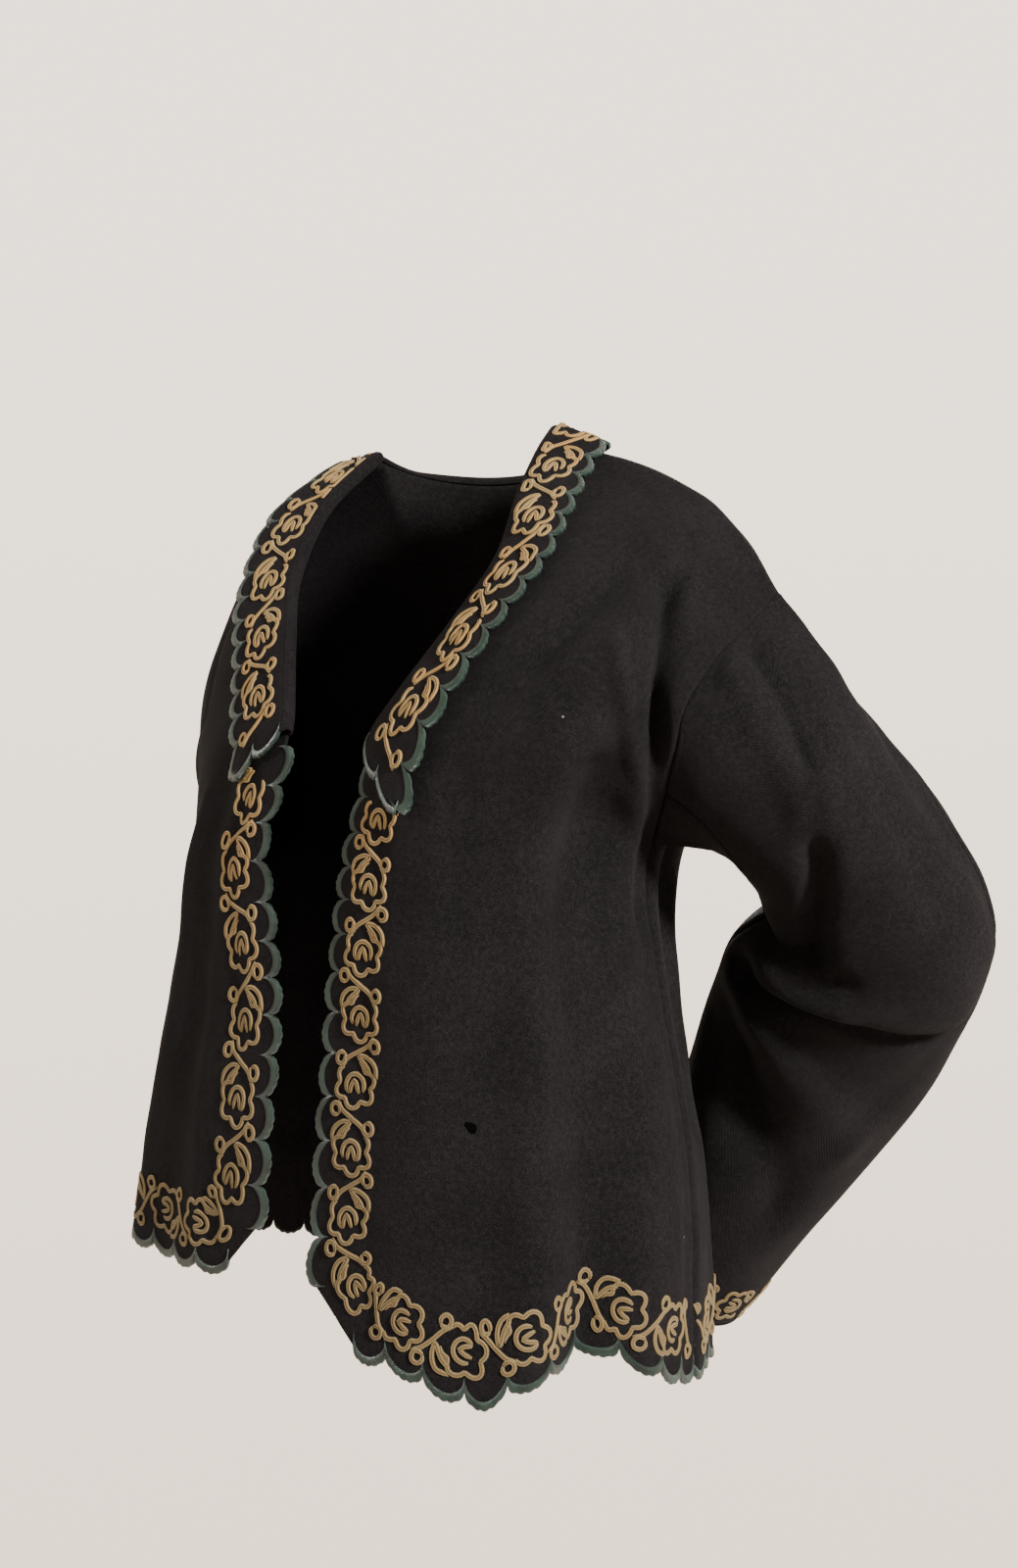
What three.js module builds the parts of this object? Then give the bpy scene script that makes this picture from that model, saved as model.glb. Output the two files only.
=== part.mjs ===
// Open-fronted wool jacket, worn form, empty.  Millimetres, Z up, -Y is the wearer's front,
// +X the wearer's left.  The origin is the middle of the neck opening, level with the neck points.
//
// Every cut piece is one cloth wall.  Its middle surface comes from short tables; the wall is laid
// half to each side of it.  Panels that are sewn share their seam points and stand 0.3 mm apart.
import * as THREE from 'three';

const CLOTH = 2.0;             // wall
const SEAM_GAP = 0.3;
const NV = 24, NS = 14;        // rows down a body panel, columns from edge to side seam
const NT = 24, NQ = 24;        // rings down a sleeve, points round it
const V_BREAK = 11 / 24;       // where the collar ends on the front edge
const V_ARM = 0.5;             // underarm point
const SCALLOP = 24.5, SCALLOP_DEPTH = 8;
const ARC = [0.1, 0.32, 0.68, 0.9];            // stations inside one scallop
const NECK_COLS = 4, SHOULDER_COLS = NS - NECK_COLS;     // columns of a half back along neck and shoulder seam
const S_NECK = NECK_COLS / NS;

// ---- section tables; side 1 is the wearer's left, -1 the right --------------------------------
// v (0 shoulder seam, 1 hem), x, y, z : neckline, then the line through the scallops' notches
const EDGE = {
  1: [[0.00, 71, 3, 7], [0.10, 80, -36, -38], [0.205, 89, -70, -86], [0.31, 79, -102, -130], [0.395, 62, -127, -170],
    [0.4583, 49, -141, -200], [0.52, 42, -147, -236], [0.58, 35, -149, -268], [0.66, 29, -150, -310],
    [0.76, 23, -150, -372], [0.86, 20, -153, -440], [0.94, 19, -157, -500], [1.00, 18, -159, -546]],
  '-1': [[0.00, -78, 3, 11], [0.10, -91, -36, -30], [0.205, -84, -72, -82], [0.31, -62, -99, -127], [0.395, -43, -119, -164],
    [0.4583, -32, -132, -189], [0.52, -37, -139, -224], [0.58, -47, -142, -257], [0.66, -38, -144, -305],
    [0.76, -30, -147, -360], [0.86, -34, -150, -421], [0.94, -38, -150, -474], [1.00, -42, -149, -512]],
};
// v, x, y, z : plain side line shared by front and back
const SIDE = {
  1: [[0.00, 230, 8, -108], [0.10, 226, -2, -138], [0.20, 219, -8, -166], [0.30, 206, -12, -192], [0.40, 188, -12, -222],
    [0.50, 168, -8, -256], [0.58, 160, -8, -290], [0.66, 161, -8, -330], [0.76, 168, -8, -390], [0.86, 177, -8, -450],
    [0.94, 180, -8, -512], [1.00, 179, -8, -562]],
  '-1': [[0.00, -218, 8, -110], [0.10, -213, 0, -140], [0.20, -205, -6, -168], [0.30, -198, -10, -196], [0.40, -193, -10, -228],
    [0.50, -190, -8, -262], [0.58, -195, -8, -296], [0.66, -203, -8, -332], [0.76, -215, -8, -384], [0.86, -225, -8, -436],
    [0.94, -232, -8, -479], [1.00, -238, -8, -514]],
};
// v, front dx, front dy, back dx, back dy : the armhole and underarm, as offsets from the side line
const ARMHOLE = {
  1: [[0, 0, 0, 0, 0], [.08, -1, -22, 0, 28], [.16, -2, -44, -1, 48], [.26, 3, -58, -1, 62], [.36, 6, -48, 2, 52],
    [.44, -2, -26, -6, 28], [.50, -16, 0, -16, 0], [.58, -12, 0, -12, 0], [.66, -6, 0, -6, 0], [.76, -1, 0, -1, 0],
    [.86, 0, 0, 0, 0], [1, 0, 0, 0, 0]],
  '-1': [[0, 0, 0, 0, 0], [.08, -2, -16, 0, 26], [.16, 2, -28, 0, 46], [.26, 2, -36, 2, 58], [.36, 4, -28, 4, 50],
    [.44, 5, -14, 5, 26], [.50, 6, 0, 6, 0], [.58, 5, 0, 5, 0], [.66, 3, 0, 3, 0], [.76, 1, 0, 1, 0],
    [.86, 0, 0, 0, 0], [1, 0, 0, 0, 0]],
};
// v, x, y, z : centre back
const CENTRE_BACK = [[0.00, -2, 66, -4], [0.10, -4, 84, -50], [0.20, -6, 97, -100], [0.30, -8, 102, -150],
  [0.40, -10, 101, -200], [0.50, -12, 98, -255], [0.60, -14, 94, -310], [0.70, -16, 92, -368], [0.80, -18, 94, -425],
  [0.90, -20, 100, -485], [1.00, -22, 107, -545]];
// share along the shoulder seam, height above its straight line
const SHOULDER = {
  1: [[0, 0], [.18, 8], [.48, 23], [.70, 27], [.82, 23], [.92, 12], [1, 0]],
  '-1': [[0, 0], [.18, 17], [.48, 42], [.70, 48], [.82, 42], [.92, 22], [1, 0]],
};
const CHEST = [[0, 0], [.10, 12], [.20, 26], [.30, 30], [.40, 26], [.50, 19], [.6, 12], [.75, 6], [1, 0]];  // v, fullness
const CHEST_SHARE = { 1: 1.0, '-1': 0.1 };
// v, exponent of the section
const ROUND_FRONT = { 1: [[0, 2.0], [.3, 2.05], [.5, 2.3], [.75, 2.45], [1, 2.5]], '-1': [[0, 2.0], [.3, 2.0], [.5, 2.1], [.75, 2.3], [1, 2.45]] };
const ROUND_BACK = { 1: [[0, 2.0], [.3, 1.95], [.5, 1.85], [1, 1.8]], '-1': [[0, 2.0], [.3, 2.0], [.5, 1.95], [1, 1.95]] };
const HEM = {            // s (0 front edge, 1 side seam), lift of the hem
  1: [[0, 0], [.12, 6], [.22, 6], [.32, -3], [.42, -8], [.5, 3], [.58, 10], [.68, 20], [.78, 12], [.88, 4], [1, 0]],
  '-1': [[0, 4], [.2, 4], [.5, 9], [.8, 4], [1, 0]],
};
const CORNER = { 1: [0.955, 0.12], '-1': [0.965, 0.07] };      // where the plain cut-off corner leaves edge and hem
// t (0 armhole, 1 cuff), centre x, y, z, half widths outer, inner, front, back, turn in degrees
const SLEEVE = {
  1: [[0.00, 193, 0, -182, 83, 83, 66, 56, 0], [0.07, 210, 4, -190, 73, 76, 64, 57, 3], [0.14, 223, 15, -201, 63, 70, 62, 57, 8], [0.28, 240, 44, -228, 51, 66, 58, 56, 20],
    [0.42, 251, 78, -264, 53, 70, 58, 60, 30], [0.52, 250, 104, -304, 64, 71, 58, 58, 32], [0.64, 220, 130, -344, 67, 88, 54, 54, 34],
    [0.76, 180, 147, -392, 68, 82, 52, 50, 34], [0.88, 117, 160, -474, 56, 62, 48, 46, 34], [1.00, 58, 168, -550, 47, 48, 46, 44, 34]],
  '-1': [[0.00, -199, 0, -186, 78, 78, 40, 50, 0], [0.07, -211, 10, -194, 68, 71, 43, 50, 3], [0.14, -220, 26, -208, 58, 59, 46, 51, 6], [0.30, -236, 56, -256, 48, 46, 48, 52, 16],
    [0.45, -250, 68, -314, 46, 44, 48, 50, 24], [0.60, -260, 72, -369, 46, 44, 48, 50, 28], [0.75, -265, 69, -422, 45, 43, 47, 49, 30],
    [0.88, -266, 60, -468, 44, 42, 46, 47, 30], [1.00, -263, 48, -510, 43, 41, 45, 46, 30]],
};
const ARM_OUT = { 1: [0.90, 0.43, 0], '-1': [-0.94, 0.34, 0] };
// at the armhole: the way the sleeve leaves the body, and the way up to the shoulder tip
const ARM_START = { 1: [0.88, 0.04, -0.47], '-1': [-0.96, 0.04, -0.25] }, ARM_TIP = { 1: [0.445, 0.1, 0.89], '-1': [-0.24, 0.1, 0.97] };
const ARM_BEND = 0.42;         // share of the sleeve over which it turns from the armhole's plane to its own line
const SLEEVE_SEAMS = [-2, 10, 22];     // ring points of the back seam, the inner seam and the back seam again
// folds: middle line as three points (across, down), half width in mm, height in mm (minus is a trough)
const FOLDS = {
  front1: [[.80, .20, .93, .40, .97, .60, 14, -6], [.80, .36, .80, .70, .66, 1.05, 24, -10], [.66, .40, .62, .75, .50, 1.05, 26, 6],
    [.93, .75, .92, .85, .89, 1.05, 16, 4], [.50, .14, .44, .24, .36, .37, 17, -5], [.30, .55, .28, .8, .28, 1.05, 30, 3]],
  'front-1': [[.22, .48, .24, .70, .30, 1.0, 18, -5], [.50, .55, .54, .78, .60, 1.05, 26, -4], [.80, .22, .88, .42, .85, .62, 14, -5]],
  back1: [[.32, .45, .34, .70, .38, 1.05, 24, -8], [.60, .40, .62, .70, .66, 1.05, 26, 6], [.82, .20, .84, .45, .84, .8, 18, -7]],
  'back-1': [[.26, .50, .24, .75, .20, 1.05, 26, -7], [.55, .42, .52, .70, .50, 1.05, 26, 6], [.80, .24, .82, .50, .78, .9, 18, -7]],
  sleeve1: [[.08, .05, .11, .12, .14, .20, 14, -5], [.12, .12, .17, .22, .20, .34, 16, 4], [.22, .32, .25, .42, .28, .50, 12, -6],
    [.34, .63, .22, .535, .05, .56, 13, -8], [.27, .70, .22, .75, .17, .81, 17, 5], [.33, .73, .29, .78, .22, .82, 14, -5],
    [.72, .20, .76, .32, .80, .46, 16, -5], [.70, .60, .78, .56, .90, .57, 13, -6]],
  'sleeve-1': [[.06, .10, .10, .30, .12, .45, 16, -4], [.02, .50, .22, .55, .42, .50, 12, -5], [.60, .52, .75, .60, .90, .55, 13, -5],
    [.30, .62, .32, .75, .34, .9, 18, 4]],
};
const PANEL_MM = { front: [270, 560], back: [250, 560], sleeve: [390, 520, true] };      // across, down, closed round
// collar: share of its run from centre back to the front end, width from neck seam to the notch line
const COLLAR_WIDTH = { 1: [[0, 34], [.3, 35], [.6, 44], [.85, 48], [1, 47]], '-1': [[0, 34], [.3, 33], [.6, 36], [.85, 41], [1, 43]] };
// collar section: mm along the panel from the neck edge (minus is past it), mm above the panel
const COLLAR_ROLL = [[-0.9, 0], [-2.6, 0.5], [-4.2, 2.2], [-4.5, 4.6], [-2.6, 6.7], [0.8, 7.4], [9, 6.6], [21, 5.6]];
const COLLAR_LIE = { 1: [[0, 6], [.25, 6.5], [.5, 5.5], [.8, 7], [1, 8]], '-1': [[0, 6], [.15, 8], [.28, 12], [.42, 17], [.6, 12], [.8, 6], [1, 5]] };     // the same share, height over the panel at the outer edge
const COLLAR_SLANT = { 1: 0.75, '-1': 0.45 };     // how far the front end drops per mm of width
const HOLE = { s: 0.398, v: 0.812, col: 5, row: 19, rim: [4.2, 3.4, 4.6, 2.9, 3.6, 3.0, 4.4, 3.2] };   // worn through, left front

// ---- small maths ------------------------------------------------------------------------------
const add = (a, b, k = 1) => [a[0] + b[0] * k, a[1] + b[1] * k, a[2] + b[2] * k];
const sub = (a, b) => [a[0] - b[0], a[1] - b[1], a[2] - b[2]];
const dot = (a, b) => a[0] * b[0] + a[1] * b[1] + a[2] * b[2];
const cross = (a, b) => [a[1] * b[2] - a[2] * b[1], a[2] * b[0] - a[0] * b[2], a[0] * b[1] - a[1] * b[0]];
const len = (a) => Math.sqrt(dot(a, a));
const unit = (a) => { const l = len(a) || 1; return [a[0] / l, a[1] / l, a[2] / l]; };
const mix = (a, b, k) => [a[0] + (b[0] - a[0]) * k, a[1] + (b[1] - a[1]) * k, a[2] + (b[2] - a[2]) * k];
const step = (a, b, x) => { const t = Math.min(1, Math.max(0, (x - a) / (b - a))); return t * t * (3 - 2 * t); };

/** smooth curve through a table's rows; the first column is the parameter */
function look(table, v) {
  const n = table.length;
  let i = 0;
  while (i < n - 2 && v >= table[i + 1][0]) i++;
  const slope = (k, c) => {
    const a = Math.max(k - 1, 0), b = Math.min(k + 1, n - 1);
    return (table[b][c] - table[a][c]) / (table[b][0] - table[a][0]);
  };
  const h = table[i + 1][0] - table[i][0], x = (v - table[i][0]) / h;
  const h00 = 2 * x ** 3 - 3 * x ** 2 + 1, h10 = x ** 3 - 2 * x ** 2 + x, h01 = -2 * x ** 3 + 3 * x ** 2, h11 = x ** 3 - x ** 2;
  const out = [];
  for (let c = 1; c < table[0].length; c++)
    out.push(h00 * table[i][c] + h10 * h * slope(i, c) + h01 * table[i + 1][c] + h11 * h * slope(i + 1, c));
  return out;
}

/** quarter of a rounded section: 0 at its middle, 1 at its side */
function quarter(s, n) {
  const sn = Math.abs(Math.sin(s * Math.PI / 2)), cs = Math.abs(Math.cos(s * Math.PI / 2));
  const r = (sn ** n + cs ** n) ** (-1 / n);
  return [r * sn, r * cs];
}
function section(mid, side, s, n) {
  const [cx, cy] = quarter(s, n);
  return [mid[0] + (side[0] - mid[0]) * cx, side[1] + (mid[1] - side[1]) * cy, mid[2] + (side[2] - mid[2]) * s ** 1.3];
}
function foldHeight(rows, across, down, size) {
  let h = 0;
  for (const [a0, b0, a1, b1, a2, b2, w, d] of rows) {
    const py = down * size[1];
    let best = 1e9;
    for (const [xa, ya, xb, yb] of [[a0, b0, a1, b1], [a1, b1, a2, b2]]) for (const turn of size[2] ? [-1, 0, 1] : [0]) {
      const px = (across + turn) * size[0];
      const ax = xa * size[0], ay = ya * size[1], dx = xb * size[0] - ax, dy = yb * size[1] - ay;
      const k = Math.min(1, Math.max(0, ((px - ax) * dx + (py - ay) * dy) / (dx * dx + dy * dy)));
      best = Math.min(best, (px - ax - k * dx) ** 2 + (py - ay - k * dy) ** 2);
    }
    h += d * Math.exp(-best / (w * w));
  }
  return h;
}
/** moves a surface out along its own normal by the folds laid on it */
function folded(base, key, kind, fade, away) {
  return (a, b) => {
    const p = base(a, b), h = foldHeight(FOLDS[key], a, b, PANEL_MM[kind]) * fade(a, b);
    return Math.abs(h) < 1e-4 ? p : add(p, normalOf(base, a, b, away), h);
  };
}
function normalOf(surface, a, b, away) {
  const e = 2e-3, a0 = Math.max(0, a - e), a1 = Math.min(1, a + e), b0 = Math.max(0, b - e), b1 = Math.min(1, b + e);
  const p = surface(a, b);
  let n = unit(cross(sub(surface(a1, b), surface(a0, b)), sub(surface(a, b1), surface(a, b0))));
  if (dot(n, away(p, b)) < 0) n = [-n[0], -n[1], -n[2]];
  return n;
}

// ---- the panels' middle surfaces ---------------------------------------------------------------
function shoulderSeam(side, q) {
  const p = mix(look(EDGE[side], 0), look(SIDE[side], 0), q);
  p[2] += look(SHOULDER[side], q)[0];
  return p;
}
function armOffset(side, v) {
  const o = look(ARMHOLE[side], v);
  return v < V_ARM ? o : [o[0], 0, o[0], 0];
}
function plainFront(side, s, v) {
  const p = section(look(EDGE[side], v), look(SIDE[side], v), s, look(ROUND_FRONT[side], v)[0]);
  const o = armOffset(side, v), w = 0.25 * s + 0.75 * s ** 4;
  p[0] += o[0] * w;
  p[1] += o[1] * w - look(CHEST, v)[0] * 4 * s * (1 - s) * CHEST_SHARE[side];
  p[2] += look(HEM[side], s)[0] * step(0.6, 1, v);
  const h = Math.max(0, 1 - v / 0.30) ** 2;
  return h ? add(p, sub(shoulderSeam(side, quarter(s, 2)[0]), section(look(EDGE[side], 0), look(SIDE[side], 0), s, 2)), h) : p;
}
function plainBack(side, s, v) {
  const p = section(look(CENTRE_BACK, v), look(SIDE[side], v), s, look(ROUND_BACK[side], v)[0]);
  const o = armOffset(side, v), w = 0.25 * s + 0.75 * s ** 4;
  p[0] += o[2] * w; p[1] += o[3] * w;
  const h = Math.max(0, 1 - v / 0.30) ** 2;
  if (!h) return p;
  const c0 = look(CENTRE_BACK, 0), neck = shoulderSeam(side, 0), b = section(c0, look(SIDE[side], 0), s, 2);
  const k = s / S_NECK * Math.PI / 2;
  const top = s < S_NECK
    ? [c0[0] + (neck[0] - c0[0]) * Math.sin(k), neck[1] + (c0[1] - neck[1]) * Math.cos(k), c0[2] + (neck[2] - c0[2]) * (1 - Math.cos(k))]
    : shoulderSeam(side, Math.sin((s - S_NECK) / (1 - S_NECK) * Math.PI / 2));
  return add(p, sub(top, b), h);
}
function armholePoint(side, q) {
  const r = q - Math.floor(q), v = V_ARM * (1 - Math.abs(1 - 2 * r)), a = look(SIDE[side], v), o = armOffset(side, v);
  return r <= 0.5 ? [a[0] + o[0], a[1] + o[1], a[2]] : [a[0] + o[2], a[1] + o[3], a[2]];
}
function ring(side, q, t) {
  const r = look(SLEEVE[side], t), e = 2e-3;
  const run = unit(sub(look(SLEEVE[side], Math.min(1, t + e)).slice(0, 3), look(SLEEVE[side], Math.max(0, t - e)).slice(0, 3)));
  const w = Math.min(1, t / ARM_BEND), along = unit(mix(ARM_START[side], run, w)), tip = mix(ARM_TIP[side], ARM_OUT[side], w);
  const out = unit(add(tip, along, -dot(tip, along)));
  const c = cross(along, out), fwd = [c[0] * side, c[1] * side, c[2] * side];
  const an = 2 * Math.PI * q + r[7] * Math.PI / 180, cu = Math.cos(an), cf = Math.sin(an);
  return add(add(r.slice(0, 3), out, cu * (cu > 0 ? r[3] : r[4])), fwd, cf * (cf > 0 ? r[5] : r[6]));
}
function plainSleeve(side, q, t) {
  const p = ring(side, q, t), h = Math.max(0, 1 - t / 0.30) ** 2;
  return h ? add(p, sub(armholePoint(side, q), ring(side, q, 0)), h) : p;
}
const bodyAway = (p) => [p[0] + 10, p[1] + 20, p[2] > -60 ? 60 : 0];
const sideFade = (a, b) => step(0, 0.10, 1 - a) * step(0, 0.08, b) * step(0, 0.12, a);
const backFade = (a, b) => step(0, 0.10, 1 - a) * step(0, 0.10, b) * step(0, 0.12, a);
const SURF = {};
for (const side of [1, -1]) {
  SURF['front' + side] = folded((s, v) => plainFront(side, s, v), 'front' + side, 'front', sideFade, bodyAway);
  SURF['back' + side] = folded((s, v) => plainBack(side, s, v), 'back' + side, 'back', backFade, bodyAway);
  const away = (p, t) => sub(p, look(SLEEVE[side], Math.min(1, Math.max(0, t))).slice(0, 3));
  const loose = folded((q, t) => plainSleeve(side, q, t), 'sleeve' + side, 'sleeve', (q, t) => step(0, 0.06, t), away);
  SURF['sleeve' + side] = (q, t) => loose(q - Math.floor(q), t);
}

// ---- cloth sheets -------------------------------------------------------------------------------
class Sheet {
  constructor(name) { this.name = name; this.p = []; this.ref = []; this.tri = []; }
  point(p, ref) { this.p.push(p); this.ref.push(ref); return this.p.length - 1; }
  face(a, b, c) { this.tri.push([a, b, c]); }
  /** turns every face the way of its neighbours, then all of them outward */
  turn() {
    const near = new Map(), done = new Set([0]), queue = [0];
    this.tri.forEach((t, f) => { for (let k = 0; k < 3; k++) { const q = [t[k], t[(k + 1) % 3]].sort((x, y) => x - y).join('_'); near.set(q, [...(near.get(q) || []), f]); } });
    while (queue.length) {
      const f = queue.pop(), t = this.tri[f];
      for (let k = 0; k < 3; k++) {
        const a = t[k], b = t[(k + 1) % 3];
        for (const g of near.get([a, b].sort((x, y) => x - y).join('_'))) {
          if (done.has(g)) continue;
          const u = this.tri[g], i = u.indexOf(a);
          if (u[(i + 1) % 3] === b) this.tri[g] = [u[0], u[2], u[1]];
          done.add(g); queue.push(g);
        }
      }
    }
    let sum = 0;
    for (const [a, b, c] of this.tri) sum += dot(cross(sub(this.p[b], this.p[a]), sub(this.p[c], this.p[a])), add(add(this.ref[a], this.ref[b]), this.ref[c]));
    if (sum < 0) this.tri = this.tri.map(([a, b, c]) => [a, c, b]);
    return this;
  }
  cell(a, b, c, d) {        // split along the shorter diagonal
    if (len(sub(this.p[a], this.p[c])) <= len(sub(this.p[b], this.p[d]))) { this.face(a, b, c); this.face(a, c, d); }
    else { this.face(a, b, d); this.face(b, c, d); }
  }
  /** joins two lines of points of different counts, each given with its share of the run */
  zip(A, ta, B, tb) {
    let i = 0, j = 0;
    while (i < A.length - 1 || j < B.length - 1) {
      if (j === B.length - 1 || (i < A.length - 1 && ta[i + 1] <= tb[j + 1])) { this.face(A[i], B[j], A[i + 1]); i++; }
      else { this.face(A[i], B[j], B[j + 1]); j++; }
    }
  }
}
/** scalloped line between two shares of a base line; at(u, h) gives the point h mm past the base line */
function scallops(at, u0, u1) {
  let run = 0, last = at(u0, 0);
  for (let k = 1; k <= 40; k++) { const p = at(u0 + (u1 - u0) * k / 40, 0); run += len(sub(p, last)); last = p; }
  const n = Math.max(1, Math.round(run / SCALLOP)), out = [];
  for (let k = 0; k < n; k++) {
    const a = u0 + (u1 - u0) * k / n, b = u0 + (u1 - u0) * (k + 1) / n;
    out.push([a, 0]);
    for (const c of ARC) out.push([a + (b - a) * c, SCALLOP_DEPTH * Math.sin(Math.PI * c) ** 0.55]);
  }
  out.push([u1, 0]);
  return out.map(([u, h]) => ({ u, p: at(u, h) }));
}
const past = (surface, a, b, da, db, h) => {      // a point h mm beyond the panel's edge, in the panel's own slope
  const p = surface(a, b);
  return h === 0 ? p : add(p, unit(sub(p, surface(a + da, b + db))), h);
};

function frontPanel(side, name) {
  const S = new Sheet(name), f = SURF['front' + side], nrm = (s, v) => normalOf(f, s, v, bodyAway);
  const id = [];
  const JB = Math.round(V_BREAK * NV);
  for (let j = 0; j < NV; j++) {
    id.push([]);
    const n = j ? NS : SHOULDER_COLS;          // the top row has the shoulder seam's points
    for (let i = 0; i <= n; i++) id[j].push(i === 0 && j > JB ? -1 : S.point(f(i / n, j / NV), nrm(i / n, j / NV)));
  }
  S.zip(id[1], id[1].map((_, i) => i / NS), id[0], id[0].map((_, i) => i / SHOULDER_COLS));
  for (let j = 1; j < NV - 1; j++) for (let i = j < JB ? 0 : 1; i < NS; i++) {
    if (side === 1 && i === HOLE.col && j === HOLE.row) continue;
    S.cell(id[j][i], id[j][i + 1], id[j + 1][i + 1], id[j + 1][i]);
  }
  if (side === 1) {          // the hole worn through the cloth
    const i = HOLE.col, j = HOLE.row, hole = HOLE.rim.map((r, k) => {
      const a = Math.PI / 4 + k * Math.PI / 4, s = HOLE.s + r * 1.15 * Math.cos(a) / PANEL_MM.front[0], v = HOLE.v + r * 0.85 * Math.sin(a) / PANEL_MM.front[1];
      return S.point(f(s, v), nrm(s, v));
    });
    const box = [id[j + 1][i + 1], id[j + 1][i], id[j][i], id[j][i + 1]];
    S.zip([...box, box[0]], [0, .25, .5, .75, 1], [...hole, hole[0]], [0, .13, .24, .38, .49, .63, .74, .88, 1]);
  }
  const [vc, sc] = CORNER[side];
  const edge = scallops((v, h) => past(f, 0, v, 0.02, 0, h), V_BREAK + 0.012, vc);
  const hem = scallops((s, h) => past(f, s, 1, 0, -0.01, h), sc, 1);
  const cut = S.point(mix(f(0, vc), f(sc, 1), 0.5), nrm(sc / 2, 1));
  const down = [id[JB][0], ...edge.map((e) => S.point(e.p, nrm(0, e.u))), cut], downAt = [V_BREAK, ...edge.map((e) => e.u), 1];
  const round = [cut, ...hem.map((e) => S.point(e.p, nrm(e.u, 1)))], roundAt = [0, ...hem.map((e) => e.u)];
  const side1 = [], side1At = [], low = [], lowAt = [];
  for (let j = JB; j < NV; j++) { side1.push(id[j][1]); side1At.push(j / NV); }
  for (let i = 1; i <= NS; i++) { low.push(id[NV - 1][i]); lowAt.push(i / NS); }
  S.zip(side1, side1At, down, downAt);
  S.zip(low, lowAt, round, roundAt);
  return S.turn();
}
function backPanel(name) {
  const S = new Sheet(name), id = [], N = 2 * NS;
  const f = (c, v) => { const k = c / NS - 1; return SURF['back' + (k >= 0 ? 1 : -1)](Math.abs(k), v); };
  const nrm = (c, v) => { const k = c / NS - 1; return normalOf(SURF['back' + (k >= 0 ? 1 : -1)], Math.abs(k), v, bodyAway); };
  for (let j = 0; j < NV; j++) {
    id.push([]);
    for (let c = 0; c <= N; c++) id[j].push(S.point(f(c, j / NV), nrm(c, j / NV)));
  }
  for (let j = 0; j < NV - 1; j++) for (let c = 0; c < N; c++) S.cell(id[j][c], id[j][c + 1], id[j + 1][c + 1], id[j + 1][c]);
  const hem = scallops((c, h) => { const p = f(c, 1); return h ? add(p, unit(sub(p, f(c, 0.99))), h) : p; }, 0, N);
  S.zip(id[NV - 1], id[NV - 1].map((_, c) => c), hem.map((q) => S.point(q.p, nrm(q.u, 1))), hem.map((q) => q.u));
  return S.turn();
}
function sleevePanel(side, name, from, to) {
  const S = new Sheet(name), f = SURF['sleeve' + side], away = (p, t) => sub(p, look(SLEEVE[side], t).slice(0, 3)), id = [];
  const nrm = (q, t) => {
    const e = 2e-3, p = f(q, t), n = unit(cross(sub(f(q + e, t), f(q - e, t)), sub(f(q, Math.min(1, t + e)), f(q, Math.max(0, t - e)))));
    return dot(n, away(p, t)) < 0 ? [-n[0], -n[1], -n[2]] : n;
  };
  for (let k = 0; k <= NT; k++) {
    id.push([]);
    for (let a = from; a <= to; a++) id[k].push(S.point(f(a / NQ, k / NT), nrm(a / NQ, k / NT)));
  }
  for (let k = 0; k < NT; k++) for (let a = 0; a < to - from; a++) S.cell(id[k][a], id[k][a + 1], id[k + 1][a + 1], id[k + 1][a]);
  return S.turn();
}
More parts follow.
